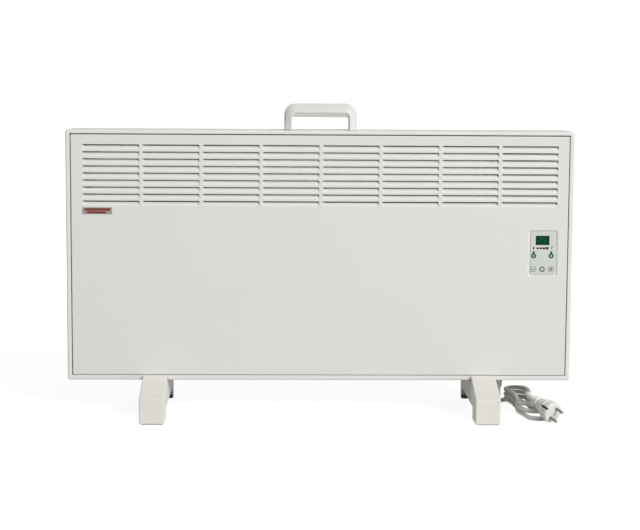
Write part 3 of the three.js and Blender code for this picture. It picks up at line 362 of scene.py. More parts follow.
def add_thickness(piece):
    """Makes a surface a sheet that is as thick as the heater's steel, inwards."""
    solid = piece.modifiers.new("sheet", "SOLIDIFY")
    solid.thickness = SHEET * MM
    solid.offset = -1
    solid.use_even_offset = True


def flatten_normals(piece):
    """Lets large flat faces keep their own normal beside small bends."""
    weighted = piece.modifiers.new("normals", "WEIGHTED_NORMAL")
    weighted.keep_sharp = True


def refined(node, slot, bevel=0.0, body="heater"):
    """A copy of a CAD node with its flat faces whole again and its edges rounded, shown in its place."""
    bm = bmesh.new()
    bm.from_mesh(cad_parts[node].data)
    bmesh.ops.scale(bm, vec=(1 / MM, 1 / MM, 1 / MM), verts=bm.verts)
    bmesh.ops.remove_doubles(bm, verts=bm.verts, dist=1e-3)
    bmesh.ops.dissolve_limit(bm, angle_limit=math.radians(1), verts=bm.verts, edges=bm.edges)
    piece = piece_from(bm, node + "_finished", FINISHES[slot], body, (node,))
    if bevel:
        add_bevel(piece, bevel, 2)
    return piece


# ---------------------------------------------------------------- mains lead and plug
def smooth(t):
    return t * t * (3 - 2 * t)


def hank_share(along):
    """Where a place along the hank is between the rear folds and the nearest front fold, 0 to 1."""
    shared = HANK["run"] - HANK["step_back"] * (math.floor(HANK["to"]) - 1)
    return min(1, max(0, (along + HANK["run"] / 2) / shared))


def hank_half(along):
    """Half the hank's width, which draws in at the waist."""
    return HANK["fold"] * (1 - HANK["waist"] * math.sin(math.pi * hank_share(along)) ** 2)


def hank_place(across, along, height):
    right = Vector((math.cos(HANK["heading"]), math.sin(HANK["heading"])))
    spot = Vector((HANK["x"], HANK["y"])) + across * right + along * Vector((right.y, -right.x))
    return Vector((*spot, height))


def hank_point(turns):
    """The same loops as the CAD hank: three turns on each other, each front fold a step behind the last."""
    k = math.floor(turns)
    run = HANK["run"] - HANK["step_back"] * k
    rear, fold = -HANK["run"] / 2, HANK["fold"]
    arc = math.pi * fold
    place = (turns - k) * 2 * (run + arc)
    base = REST + k * HANK["layer"]
    if place < run:
        across, along, height = hank_half(rear + place), rear + place, base
    elif place < run + arc:
        angle = (place - run) / fold
        across, along, height = fold * math.cos(angle), rear + run + fold * math.sin(angle), base
    elif place < 2 * run + arc:
        along = rear + 2 * run + arc - place
        across, height = -hank_half(along), base + HANK["layer"] * smooth(1 - hank_share(along))
    else:
        angle = (place - 2 * run - arc) / fold
        across, along, height = -fold * math.cos(angle), rear - fold * math.sin(angle), base + HANK["layer"]
    return hank_place(across, along, height)


def hank_points():
    turns = HANK["to"] - HANK["from"]
    count = round(turns * HANK["points_per_turn"])
    return [hank_point(HANK["from"] + turns * i / count) for i in range(count + 1)]


def curve_through(points):
    """Points about CORD_STEP apart on the centripetal Catmull-Rom curve through the given ones."""
    points = [Vector(p) for p in points]
    points = [2 * points[0] - points[1], *points, 2 * points[-1] - points[-2]]
    line = []
    for p0, p1, p2, p3 in zip(points, points[1:], points[2:], points[3:]):
        t0 = 0
        t1 = t0 + (p1 - p0).length ** 0.5
        t2 = t1 + (p2 - p1).length ** 0.5
        t3 = t2 + (p3 - p2).length ** 0.5
        count = max(2, round((p2 - p1).length / CORD_STEP))
        for i in range(count):
            t = t1 + (t2 - t1) * i / count
            a1 = p0.lerp(p1, (t - t0) / (t1 - t0))
            a2 = p1.lerp(p2, (t - t1) / (t2 - t1))
            a3 = p2.lerp(p3, (t - t2) / (t3 - t2))
            b1 = a1.lerp(a2, (t - t0) / (t2 - t0))
            b2 = a2.lerp(a3, (t - t1) / (t3 - t1))
            line.append(b1.lerp(b2, (t - t1) / (t2 - t1)))
    line.append(points[-2])
    return line


def plug_frame():
    """A matrix in millimetres with the pins along +Z and side by side along X."""
    level = math.cos(PLUG_DIP)
    ahead = Vector((math.cos(PLUG_HEADING) * level, -math.sin(PLUG_HEADING) * level, -math.sin(PLUG_DIP)))
    flat = Vector((-ahead.y, ahead.x, 0)).normalized()
    above = ahead.cross(flat)
    aside = flat * math.cos(PLUG_ROLL) + above * math.sin(PLUG_ROLL)
    third = ahead.cross(aside)
    return Matrix.Translation(PLUG_FACE) @ Matrix((aside, third, ahead)).transposed().to_4x4()


def lathe_into(bm, profile, sides):
    """A closed body of revolution round +Z from (height, radius) points."""
    angles = [2 * math.pi * i / sides for i in range(sides)]
    rows = loft(bm, [[(radius * math.cos(a), radius * math.sin(a), height) for a in angles]
                     for height, radius in profile])
    bm.faces.new(rows[0][::-1])
    bm.faces.new(rows[-1])
    bmesh.ops.recalc_face_normals(bm, faces=bm.faces)


def plug_body():
    """A round moulded plug: a collared head, a waisted grip and a ribbed neck that flexes with the cord."""
    profile = [(-PLUG_LENGTH, 4.6), (-PLUG_LENGTH, 5.4)]
    span = (PLUG_NECK_END + PLUG_LENGTH) / PLUG_RIBS
    for i in range(PLUG_RIBS):
        start, swell = -PLUG_LENGTH + span * i, 6.4 + 1.5 * i
        profile += [(start + span * share, swell + more) for share, more in RIB_SHAPE]
    profile += PLUG_HEAD
    bm = bmesh.new()
    lathe_into(bm, profile, 56)
    bmesh.ops.transform(bm, matrix=plug_frame(), verts=bm.verts)
    plug = piece_from(bm, "mains_plug", FINISHES["plug_white"], replaces=("plug_body",),
                      smooth_to=50)
    tools = bmesh.new()
    for side in (-1, 1):
        cylinder_into(tools, PIN_RADIUS + 0.2, -PIN_SUNK - 0.5, 2, side * PIN_SPACING / 2, 0)
        box_into(tools, -2.2, 2.2, *sorted((side * 16, side * 20)), -20, 2)
    bmesh.ops.transform(tools, matrix=plug_frame(), verts=tools.verts)
    cut_with(plug, tools)
    return plug


def plug_contacts():
    """The two sprung earth contacts in the plug's side grooves."""
    bm = bmesh.new()
    for side in (-1, 1):
        box_into(bm, -1.6, 1.6, *sorted((side * 16.1, side * 16.9)), -18, -1.5)
    bmesh.ops.transform(bm, matrix=plug_frame(), verts=bm.verts)
    return piece_from(bm, "earth_contacts", FINISHES["black_plastic"])


def plug_pin(name, side, node):
    bm = bmesh.new()
    profile = [(-PIN_SUNK, 2.2), (-PIN_SUNK, PIN_RADIUS), (PIN_LENGTH - 1.6, PIN_RADIUS),
               (PIN_LENGTH - 0.9, 2.2), (PIN_LENGTH - 0.3, 1.6), (PIN_LENGTH, 0.8)]
    lathe_into(bm, profile, 28)
    bmesh.ops.translate(bm, vec=(side * PIN_SPACING / 2, 0, 0), verts=bm.verts)
    bmesh.ops.transform(bm, matrix=plug_frame(), verts=bm.verts)
    return piece_from(bm, name, FINISHES["pin_nickel"], replaces=(node,), smooth_to=30)


def supply_cord():
    loops = hank_points()
    start = (loops[1] - loops[0]).normalized()
    end = (loops[-1] - loops[-2]).normalized()
    neck = plug_frame() @ Vector((0, 0, -PLUG_LENGTH - 9)) * MM
    into_plug = plug_frame() @ Vector((0, 0, -PLUG_LENGTH + 2)) * MM
    lead = curve_through([*LEAD_ROUTE, loops[0] - start * 0.008, loops[0]])
    tail = curve_through([loops[-1], loops[-1] + end * 0.009, *TAIL_ROUTE, neck, into_plug])
    line = lead[:-1] + loops[:-1] + tail
    data = bpy.data.curves.new("supply_cord", "CURVE")
    data.dimensions = "3D"
    data.bevel_depth = CORD_DIAMETER / 2
    data.bevel_resolution = 4
    data.use_fill_caps = True
    spline = data.splines.new("POLY")
    spline.points.add(len(line) - 1)
    for point, place in zip(spline.points, line):
        point.co = (*place, 1)
    spline.use_smooth = True
    cord = bpy.data.objects.new("supply_cord", data)
    bpy.context.scene.collection.objects.link(cord)
    data.materials.append(FINISHES["cord_white"])
    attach(cord, "heater")
    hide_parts("supply_cord_lead", "supply_cord_hank", "supply_cord_tail")


def hank_tie():
    """A flat tie drawn tight round the six strands at the hank's waist."""
    shared = HANK["run"] - HANK["step_back"] * (math.floor(HANK["to"]) - 1)
    along = (shared - HANK["run"]) / 2
    half, reach = hank_half(along), CORD_DIAMETER / 2
    climb = HANK["layer"] * smooth(1 - hank_share(along))
    edge = []
    for k in range(math.floor(HANK["to"])):
        for across, height in ((half, REST + k * HANK["layer"]), (-half, REST + k * HANK["layer"] + climb)):
            edge += [Vector((across, height)) + reach * Vector((math.cos(a), math.sin(a)))
                     for a in (2 * math.pi * i / 40 for i in range(40))]
    hull = [edge[i] for i in convex_hull_2d(edge)]
    rings = []
    for out, wide in ((0, -1), (TIE_THICK, -1), (TIE_THICK, 1), (0, 1)):
        ring = []
        for i, spot in enumerate(hull):
            ahead = (hull[(i + 1) % len(hull)] - hull[i - 1]).normalized()
            spot = spot + out * MM * Vector((ahead.y, -ahead.x))
            ring.append(hank_place(spot.x, along + wide * TIE_WIDTH / 2 * MM, max(spot.y, 0.0002)) / MM)
        rings.append(ring)
    bm = bmesh.new()
    loft(bm, [*rings, rings[0]])
    bmesh.ops.remove_doubles(bm, verts=bm.verts, dist=1e-4)
    bmesh.ops.recalc_face_normals(bm, faces=bm.faces)
    return piece_from(bm, "hank_tie", FINISHES["white_plastic"])


def make_mains_lead():
    on_cord = [
        plug_body(), plug_contacts(), plug_pin("upper_pin", 1, "plug_pin_upper"),
        plug_pin("lower_pin", -1, "plug_pin_lower"), hank_tie(),
    ]
    supply_cord()


# ---------------------------------------------------------------- case
def case_ring(side, top, bottom, y, radius):
    loop = rounded_loop(LEFT + side, RIGHT - side, BOTTOM + bottom, TOP - top, radius)
    return [(x, y, z) for x, z in loop]


def make_case():
    """One spot-welded wrap: rim turned in at the front, four sides, and a lip at the back."""
    rings = [case_ring(RIM_SIDE, RIM_TOP, RIM_BOTTOM, FRONT + RIM_TURN_IN, 0.6)]
    for i in range(4):
        angle = math.pi / 2 * i / 3
        back = RIM_FOLD * (1 - math.sin(angle))
        shift = -RIM_FOLD * (1 - math.cos(angle))
        rings.append(case_ring(RIM_SIDE + shift, RIM_TOP + shift, RIM_BOTTOM + shift, FRONT + back, 0.6))
    for y, sign in ((FRONT, 1), (BACK, -1)):
        bend = []
        for i in range(7):
            angle = math.pi / 2 * i / 6
            inset = CASE_BEND * (1 - math.sin(angle))
            depth = y + sign * CASE_BEND * (1 - math.cos(angle))
            bend.append(case_ring(inset, inset, inset, depth, CASE_CORNER - inset * 0.6))
        rings += bend if sign > 0 else bend[::-1]
    rings.append(case_ring(REAR_LIP, REAR_LIP, REAR_LIP, BACK, 0.6))
    bm = bmesh.new()
    loft(bm, rings)
    bmesh.ops.reverse_faces(bm, faces=bm.faces)
    nodes = ("case_top", "case_bottom", "case_left_side", "case_right_side")
    case = piece_from(bm, "case_wrap", TRIM["case"], replaces=nodes, smooth_to=50)
    add_thickness(case)
    bake_modifiers(case)
    tools = bmesh.new()
    for x, y in inlet_places():
        box_into(tools, x - INLET["length"] / 2, x + INLET["length"] / 2, y - INLET["width"] / 2,
                 y + INLET["width"] / 2, BOTTOM - 2, BOTTOM + 3)
    cylinder_into(tools, GLAND_HOLE, BOTTOM - 2, BOTTOM + 3, GLAND_X, GLAND_Y, 32)
    cut_with(case, tools)
    flatten_normals(case)


def inlet_places():
    """Centres of the air slots in the underside, which leave room for the feet and the cord's gland."""
    pitch = INLET["span"] / INLET["columns"]
    xs = [-INLET["span"] / 2 + (column + 0.5) * pitch for column in range(INLET["columns"])]
    xs = [x for x in xs if x < 300 and abs(abs(x) - FOOT_X) > FOOT_WIDTH / 2]
    return [(x, (row - 1) * INLET["pitch"]) for x in xs for row in range(INLET["rows"])]


# ---------------------------------------------------------------- front panel
PANEL_X0, PANEL_X1 = LEFT + RIM_SIDE + SEAM_SIDE, RIGHT - RIM_SIDE - SEAM_SIDE
PANEL_Z0, PANEL_Z1 = BOTTOM + RIM_BOTTOM + SEAM_BOTTOM, TOP - RIM_TOP - SEAM_TOP
CELL_X0, CELL_X1, CELL_Z0, CELL_Z1 = 360.0, 431.0, 245.0, 344.0
# A louvre's grid: millimetres in from each end, and shares of the blade's height.
ACROSS = [0, 0.3, 0.6, 0.9, 1.2, 1.5, 1.8, 2.3, 3.4]
UP = [0, 0.1, 0.22, 0.36, 0.52, 0.68, 0.84, 1]


def louvre_inset(x):
    """How far x is inside a louvre's nearer end, and None where there is no louvre."""
    from_left = (x - LOUVRE_LEFT) % LOUVRE_STEP
    in_rows = LOUVRE_LEFT - 1e-6 <= x <= LOUVRE_LEFT + LOUVRE_STEP * LOUVRE_COLUMNS
    if not in_rows or from_left > LOUVRE_LENGTH + 1e-6:
        return None
    return max(0, min(from_left, LOUVRE_LENGTH - from_left))


def blade_lean(up):
    """The blade's depth as a share: tangent to the panel at its foot, then straight."""
    lean = up * up / (2 * BLADE_BEND) if up < BLADE_BEND else up - BLADE_BEND / 2
    return lean / (1 - BLADE_BEND / 2)


def blade_depth(up, inset):
    """The blade's lean, held back near its ends by a wall of one steep slope, with a soft inner corner."""
    lean, wall = blade_lean(up), inset / LOUVRE_TAPER
    if min(lean, wall) < 1e-6:
        return 0
    return max(0, (lean + wall - math.hypot(lean - wall, BLADE_CORNER)) / 2)


def panel_lines():
    xs = {PANEL_X0 + PANEL_BEND, PANEL_X1 - PANEL_BEND, CELL_X0, CELL_X1}
    for column in range(LOUVRE_COLUMNS):
        left = LOUVRE_LEFT + column * LOUVRE_STEP
        xs |= {left + a for a in ACROSS} | {left + LOUVRE_LENGTH - a for a in ACROSS}
    zs = {PANEL_Z0 + PANEL_BEND: None, PANEL_Z1 - PANEL_BEND: None, CELL_Z0: None, CELL_Z1: None}
    for row in range(LOUVRE_ROWS):
        top = LOUVRE_TOP - row * LOUVRE_PITCH
        for up in UP:
            zs[top - LOUVRE_HEIGHT * (1 - up)] = up
    return sorted(xs), sorted(zs.items())


def blade_point(x, z, up, inset):
    """Where a point of the flat sheet goes on a blade, up being its share of the blade's height."""
    drop = LOUVRE_SLIT * up * min(1, inset / SLIT_ROUNDING)
    return (x, FRONT + LOUVRE_DEPTH * blade_depth(up, inset), z - drop)


def panel_sheet(bm):
    """The flat of the panel as a grid that parts at each slit. Returns its outer edge, anticlockwise."""
    xs, zs = panel_lines()
    sheet, blades = {}, {}
    for j, (z, up) in enumerate(zs):
        for i, x in enumerate(xs):
            inside = CELL_X0 < x < CELL_X1 and CELL_Z0 < z < CELL_Z1
            if inside:
                continue
            inset = louvre_inset(x) if up is not None else None
            flat = inset is None or up == 1
            sheet[i, j] = bm.verts.new((x, FRONT, z) if flat else blade_point(x, z, up, inset))
            if up == 1 and inset:
                blades[i, j] = bm.verts.new(blade_point(x, z, up, inset))
    for j in range(len(zs) - 1):
        for i in range(len(xs) - 1):
            middle = (xs[i] + xs[i + 1]) / 2, (zs[j][0] + zs[j + 1][0]) / 2
            if CELL_X0 < middle[0] < CELL_X1 and CELL_Z0 < middle[1] < CELL_Z1:
                continue
            under_slit = zs[j + 1][1] == 1 and zs[j][1] is not None and louvre_inset(middle[0]) is not None
            high = blades if under_slit else sheet
            top = [high.get((k, j + 1), sheet[k, j + 1]) for k in (i, i + 1)]
            bm.faces.new((sheet[i, j], sheet[i + 1, j], top[1], top[0]))
    last_i, last_j = len(xs) - 1, len(zs) - 1
    edge = [sheet[last_i, j] for j in range(last_j)] + [sheet[i, last_j] for i in range(last_i, 0, -1)]
    edge += [sheet[0, j] for j in range(last_j, 0, -1)] + [sheet[i, 0] for i in range(last_i)]
    cell = [[sheet[i, j] for i, x in enumerate(xs) if CELL_X0 <= x <= CELL_X1]
            for j, (z, _) in enumerate(zs) if z in (CELL_Z0, CELL_Z1)]
    return edge, cell


def recess_into(bm, cell):
    """The dished pocket of the key panel, joined to the sheet round it by four flat faces."""
    def ring(share, depth):
        width = RECESS_WIDTH + (RECESS_FLOOR_WIDTH - RECESS_WIDTH) * share
        height = RECESS_HEIGHT + (RECESS_FLOOR_HEIGHT - RECESS_HEIGHT) * share
        loop = rounded_loop(CONTROL_X - width / 2, CONTROL_X + width / 2, CONTROL_Z - height / 2,
                            CONTROL_Z + height / 2, 4.5 - 1.5 * share)
        return [(x, FRONT + depth, z) for x, z in loop]

    slope = ((0, 0), (0.06, 0.03), (0.14, 0.12), (0.24, 0.32), (0.78, 1.72), (0.88, 1.9), (1, RECESS_DEPTH))
    rings = [ring(share, depth) for share, depth in slope]
    hole = rounded_loop(CONTROL_X - CUTOUT_WIDTH / 2, CONTROL_X + CUTOUT_WIDTH / 2,
                        CONTROL_Z - CUTOUT_HEIGHT / 2, CONTROL_Z + CUTOUT_HEIGHT / 2, 1)
    rings.append([(x, FRONT + RECESS_DEPTH, z) for x, z in hole])
    rim = loft(bm, rings)[0]
    low, high = cell
    steps = len(rim) // 4
    mid = [k * steps + steps // 2 for k in range(4)]
    arcs = [rim[mid[k]:mid[k + 1] + 1] for k in range(3)] + [rim[mid[3]:] + rim[:mid[0] + 1]]
    outer = [[low[-1], high[-1]], high[::-1], [high[0], low[0]], low]
    for side, arc in zip(outer, arcs):
        bm.faces.new(side + arc[::-1])


def turned_edge_into(bm, edge):
    """Bends the sheet's outer edge back through a right angle and carries it inwards."""
    box = (PANEL_X0 + PANEL_BEND, PANEL_X1 - PANEL_BEND, PANEL_Z0 + PANEL_BEND, PANEL_Z1 - PANEL_BEND)
    stations = []
    for vertex in edge:
        x, _, z = vertex.co
        right, left = abs(x - box[1]) < 1e-3, abs(x - box[0]) < 1e-3
        up, down = abs(z - box[3]) < 1e-3, abs(z - box[2]) < 1e-3
        if (right or left) and (up or down):
            start = {(True, False): -90, (True, True): 0, (False, True): 90, (False, False): 180}[right, up]
            stations += [(vertex, math.radians(start + 90 * k / 5)) for k in range(6)]
        else:
            stations.append((vertex, math.radians(0 if right else 90 if up else 180 if left else 270)))
    previous = [vertex for vertex, _ in stations]
    steps = [(PANEL_BEND * math.sin(math.pi / 2 * k / 5), PANEL_BEND * (1 - math.cos(math.pi / 2 * k / 5)))
             for k in range(1, 6)]
    for out, back in [*steps, (PANEL_BEND, PANEL_TURN_BACK)]:
        ring = [bm.verts.new((v.co.x + out * math.cos(a), FRONT + back, v.co.z + out * math.sin(a)))
                for v, a in stations]
        for i in range(len(ring)):
            j = (i + 1) % len(ring)
            corners = [previous[i], ring[i], ring[j], previous[j]]
            unique = [v for k, v in enumerate(corners) if v not in corners[:k]]
            bm.faces.new(unique)
        previous = ring


def make_front_panel():
    bm = bmesh.new()
    edge, cell = panel_sheet(bm)
    recess_into(bm, cell)
    turned_edge_into(bm, edge)
    bmesh.ops.recalc_face_normals(bm, faces=bm.faces)
    flat = max(bm.faces, key=lambda face: face.calc_area())
    if flat.normal.y > 0:
        bmesh.ops.reverse_faces(bm, faces=bm.faces)
    panel = piece_from(bm, "louvred_panel", FINISHES["white_steel"], replaces=("front_panel",),
                       smooth_to=42)
    add_thickness(panel)
    flatten_normals(panel)


# ---------------------------------------------------------------- handle
def handle_station(outer, inner, bar):
    """One section of the bow between its outer and inner line; bar is 0 on a leg and 1 on the grip."""
    full = (Vector(outer) - Vector(inner)).length
    ridge = 12.9 + 2.5 * bar
    shape = [(0, 12 - 2.5 * bar), (2.4 + 6.1 * bar, 14), (ridge, 10 + 2.7 * bar), (full, 6.5 - 3.3 * bar)]
    section = [(across, -half) for across, half in shape] + [(across, half) for across, half in shape[::-1]]
    direction = (Vector(outer) - Vector(inner)).normalized()
    return [(inner[0] + direction.x * across, y, inner[1] + direction.y * across) for across, y in section]


def make_handle():
    half, gap = HANDLE_WIDTH / 2, HANDLE_OPENING / 2
    under = HANDLE_TOP - HANDLE_BAR
    outer_turn = (half - HANDLE_CORNER, HANDLE_TOP - HANDLE_CORNER)
    inner_turn = (gap - HANDLE_INNER, under - HANDLE_INNER)
    right = [((half, HANDLE_BASE), (gap, HANDLE_BASE), 0), ((half, 520), (gap, 520), 0)]
    for i in range(9):
        angle = math.pi / 2 * i / 8
        turn = Vector((math.cos(angle), math.sin(angle)))
        outer = Vector(outer_turn) + turn * HANDLE_CORNER
        inner = Vector(inner_turn) + turn * HANDLE_INNER
        right.append((tuple(outer), tuple(inner), i / 8))
    right.append(((20, HANDLE_TOP), (20, under), 1))
    left = [((-o[0], o[1]), (-n[0], n[1]), bar) for o, n, bar in right[::-1]]
    rings = [handle_station(*station) for station in right + left]
    bm = bmesh.new()
    rows = loft(bm, rings)
    bm.faces.new(rows[0][::-1])
    bm.faces.new(rows[-1])
    bmesh.ops.recalc_face_normals(bm, faces=bm.faces)
    handle = piece_from(bm, "carry_handle_moulding", TRIM["handle"],
                        replaces=("carry_handle",), smooth_to=30)
    add_bevel(handle, 0.9, 3, 9)


# ---------------------------------------------------------------- feet
def make_foot(name, centre):
    bm = bmesh.new()
    prism_into(bm, FOOT_SIDE, FOOT_WIDTH, lambda y, z, t: (centre - FOOT_WIDTH / 2 + t, y, z))
    bmesh.ops.recalc_face_normals(bm, faces=bm.faces)
    foot = piece_from(bm, name + "_moulding", FINISHES["white_plastic"], replaces=(name,))
    add_bevel(foot, FOOT_EDGE, 4)
    bake_modifiers(foot)
    tools = bmesh.new()
    inner = FOOT_WIDTH / 2 - 3
    prism_into(tools, FOOT_CHANNEL, 2 * inner, lambda y, z, t: (centre - inner + t, y, z))
    for y0, y1 in ((-127, -81), (117, 127)):
        box_into(tools, centre - inner, centre + inner, y0, y1, 0, 6.3)
    for y in (-25, 25):
        cylinder_into(tools, FOOT_SCREW_HOLE, 55, 70, centre, y, 16)
    box_into(tools, centre - 30, centre + 30, 104, 140, -1, SHOE_TOP)
    cut_with(foot, tools)
    flatten_normals(foot)


def make_feet():
    for side, centre in (("left", -FOOT_X), ("right", FOOT_X)):
        make_foot(side + "_foot", centre)
        make_shoe(side, centre)
        refined(side + "_front_pad", "rubber", bevel=0.6)
        for end in ("front", "rear"):
            refined(f"{side}_{end}_foot_screw", "zinc_steel", bevel=0.3)


def make_shoe(side, centre):
    """The rubber shoe that caps a heel."""
    outline = [(110.4, 0), (129.6, 0), (129.6, SHOE_TOP), (110.4 - 0.8 * SHOE_TOP, SHOE_TOP)]
    bm = bmesh.new()
    half = FOOT_WIDTH / 2 - SHOE_LIFT
    prism_into(bm, outline, 2 * half, lambda y, z, t: (centre - half + t, y, z))
    bmesh.ops.recalc_face_normals(bm, faces=bm.faces)
    shoe = piece_from(bm, side + "_heel_shoe", FINISHES["rubber"], replaces=(side + "_rear_pad",))
    add_bevel(shoe, 0.9, 3)


# ---------------------------------------------------------------- key panel, display and label
def ink(name, outlines, colour, face, body="heater"):
    """Thin printed shapes on the key panel, from outlines of (x, z) points about its centre."""
    bm = bmesh.new()
    for outline in outlines:
        prism_into(bm, outline, INK * 2, lambda x, z, t: (CONTROL_X + x, face - INK + t, CONTROL_Z + z))
    bmesh.ops.recalc_face_normals(bm, faces=bm.faces)
    return piece_from(bm, name, TRIM[colour], body, smooth_to=30)


def disc(x, z, radius, sides=28):
    return [(x + radius * math.cos(2 * math.pi * i / sides), z + radius * math.sin(2 * math.pi * i / sides))
            for i in range(sides)]


def arc_band(x, z, radius, stroke, start, end, steps=28):
    """A band along a circle between two angles in degrees."""
    angles = [math.radians(start + (end - start) * i / steps) for i in range(steps + 1)]
    outer, inner = ([(x + reach * math.cos(a), z + reach * math.sin(a)) for a in angles]
                    for reach in (radius + stroke / 2, radius - stroke / 2))
    return outer + inner[::-1]


def ring_bands(x, z, radius, stroke):
    return [arc_band(x, z, radius, stroke, 0, 180), arc_band(x, z, radius, stroke, 180, 360)]


def bar(x, z, width, height):
    return [(x - width / 2, z - height / 2), (x + width / 2, z - height / 2), (x + width / 2, z + height / 2),
            (x - width / 2, z + height / 2)]


def drop(x, z, width, height, lean=0.0):
    """A leaf shape, pointed at both ends."""
    points = []
    for i in range(17):
        up = i / 16
        points.append((x + width / 2 * math.sin(math.pi * up) + lean * (up - 0.5), z + height * (up - 0.5)))
    for i in range(1, 16):
        up = 1 - i / 16
        points.append((x - width / 2 * math.sin(math.pi * up) + lean * (up - 0.5), z + height * (up - 0.5)))
    return points


def digit(x, z, width, height, stroke, lit):
    """Segments of a display digit: top, upper right, lower right, bottom, lower left, upper left, middle."""
    dx, dz = width / 2, height / 2
    places = [
        (0, dz, True), (dx, dz / 2, False), (dx, -dz / 2, False), (0, -dz, True), (-dx, -dz / 2, False),
        (-dx, dz / 2, False), (0, 0, True),
    ]
    shapes = []
    for (px, pz, flat), on in zip(places, lit):
        if not on:
            continue
        long, half = (width if flat else dz) / 2 - stroke * 0.25, stroke / 2
        outline = [(-long, 0), (-long + half, -half), (long - half, -half), (long, 0), (long - half, half),
                   (-long + half, half)]
        shapes.append([(x + px + (u if flat else v), z + pz + (v if flat else u)) for u, v in outline])
    return shapes


def make_display():
    refined("display_window", "display_glass", bevel=0.15)
    refined("display_module", "black_plastic")
    ink("display_lit_area", [bar(DISPLAY_X, DISPLAY_Z, DISPLAY_WIDTH - 3.4, DISPLAY_HEIGHT - 3.2)], "display",
        WINDOW_FACE)
    digits = []
    for x, lit in ((-4.6, (1, 1, 0, 1, 1, 0, 1)), (4.6, (1, 0, 1, 1, 0, 1, 1))):
        digits += digit(DISPLAY_X + x, DISPLAY_Z, 5.2, 9.6, 1.15, lit)
    ink("display_digits", digits, "segment", WINDOW_FACE - INK)


def make_keys():
    for name, x, z in (("left_mode_key", -16.1, -4.5), ("right_mode_key", 15.0, -4.5)):
        refined(name, "key_green", bevel=0.25, body=name)
        ink(name + "_mark", [drop(x, z - 0.1, 3.0, 4.6)], "pale", KEY_FACE, name)
    marks = {
        "minus_key": (-16.3, -28.5, "grey_green"), "power_key": (-0.7, -28.4, "deep_green"),
        "plus_key": (15.2, -28.1, "deep_green"),
    }
    for name, (x, z, colour) in marks.items():
        refined(name, "key_grey", bevel=0.25, body=name)
        shapes = {
            "minus_key": [*ring_bands(x, z, 4.4, 0.6), bar(x, z - 0.2, 6.0, 1.5)],
            "power_key": [arc_band(x, z - 0.2, 3.7, 1.6, 112, 428), bar(x, z + 2.8, 1.4, 4.0)],
            "plus_key": [bar(x, z, 6.8, 1.5), bar(x, z + 2.1, 1.5, 2.7), bar(x, z - 2.1, 1.5, 2.7)],
        }[name]
        ink(name + "_mark", shapes, colour, KEY_FACE, name)
    ink("plus_key_ring", ring_bands(15.2, -28.1, 4.4, 0.4), "grey_green", KEY_FACE, "plus_key")


def make_board():
    """The board with its lamps and level bars dark where they show through the film."""
    board = refined("control_board", "board_green")
    board.data.materials.append(TRIM["black"])
    for polygon in board.data.polygons:
        if polygon.center.y < (OVERLAY_FACE + 6) * MM:
            polygon.material_index = 1


def make_key_panel():
    refined("control_overlay", "overlay_grey", bevel=0.2)
    make_display()
    make_keys()
    make_board()
    levels = [bar(x, LEVEL_Z, LEVEL_WIDTH, height) for x, height in LEVELS]
    lamps = [disc(x, z, LAMP_MARK) for x, z in LAMPS]
    ink("level_marks", levels + lamps, "black", OVERLAY_FACE)
    ink("small_fan_mark", [drop(-16.6, 9.4, 3.0, 5.0, 0.8)], "black", OVERLAY_FACE)
    ink("large_fan_mark", [drop(16.2, 10.2, 2.2, 5.4, 1.4)], "grey_green", OVERLAY_FACE)
    ink("mode_mark", [bar(-19.6, -11.4, 1.6, 0.7)], "grey_green", OVERLAY_FACE)


def make_label():
    refined("label_plate", "label_metal", bevel=0.15)
    bm = bmesh.new()
    for x, z, width, height in LABEL_BARS:
        outline = rounded_loop(-width / 2, width / 2, -height / 2, height / 2, 0.6, 3)
        corner = LABEL_X + x, LABEL_FACE - INK, LABEL_Z + z
        prism_into(bm, outline, INK * 2, lambda u, v, t, at=corner: (at[0] + u, at[1] + t, at[2] + v))
    bmesh.ops.recalc_face_normals(bm, faces=bm.faces)
    piece_from(bm, "label_bars", TRIM["red"])


# ---------------------------------------------------------------- back and inner parts
CARRIED_OVER = {
    "white_steel": ["rear_panel"],
    "zinc_steel": [
        "rear_heat_shield", "control_partition", "left_element_bracket", "right_element_bracket",
        "cutout_bracket", "sensor_clip", "earth_stud", "earth_nut", "handle_screw_left", "handle_screw_right",
    ],
    "aluminium": ["heating_element"],
    "dark_steel": ["heating_rod"],
    "inner_white_plastic": ["control_box"],
    "black_plastic": ["power_relay", "thermal_cutout", "room_sensor", "terminal_block"],
    "grey_plastic": ["board_transformer", "cord_clamp", "gland_nut"],
    "cord_white": ["internal_mains_lead", "cord_gland"],
    "wire_brown": ["live_conductor"],
    "wire_blue": ["neutral_conductor"],
    "wire_green": ["earth_conductor"],
}


def make_painted_shade_screen():
    """A thin dark sheet inside the upper rear vents by the controls, where nothing else stops the view: painted shade
    that keeps the inside dark through the slits.
    """
    bm = bmesh.new()
    box_into(bm, *PAINTED_SHADE_SCREEN["x"], *PAINTED_SHADE_SCREEN["y"], *PAINTED_SHADE_SCREEN["z"])
    # Black finish here is painted shade inside the heater.
    piece_from(bm, "rear_painted_shade_screen", FINISHES["black_plastic"])


def dress_carried_over():
    for slot, nodes in CARRIED_OVER.items():
        for name in nodes:
            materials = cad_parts[name].data.materials
            materials.clear()
            materials.append(FINISHES[slot])


# ---------------------------------------------------------------- stage and light
def seen_rays(nodes, links):
    """A value of 1 for what is seen directly, in a reflection or through glass, and 0 for other light."""
    path = nodes.new("ShaderNodeLightPath")
    total = path.outputs["Is Camera Ray"]
    for kind in ("Is Glossy Ray", "Is Transmission Ray"):
        largest = nodes.new("ShaderNodeMath")
        largest.operation = "MAXIMUM"
        links.new(total, largest.inputs[0])
        links.new(path.outputs[kind], largest.inputs[1])
        total = largest.outputs[0]
    return total


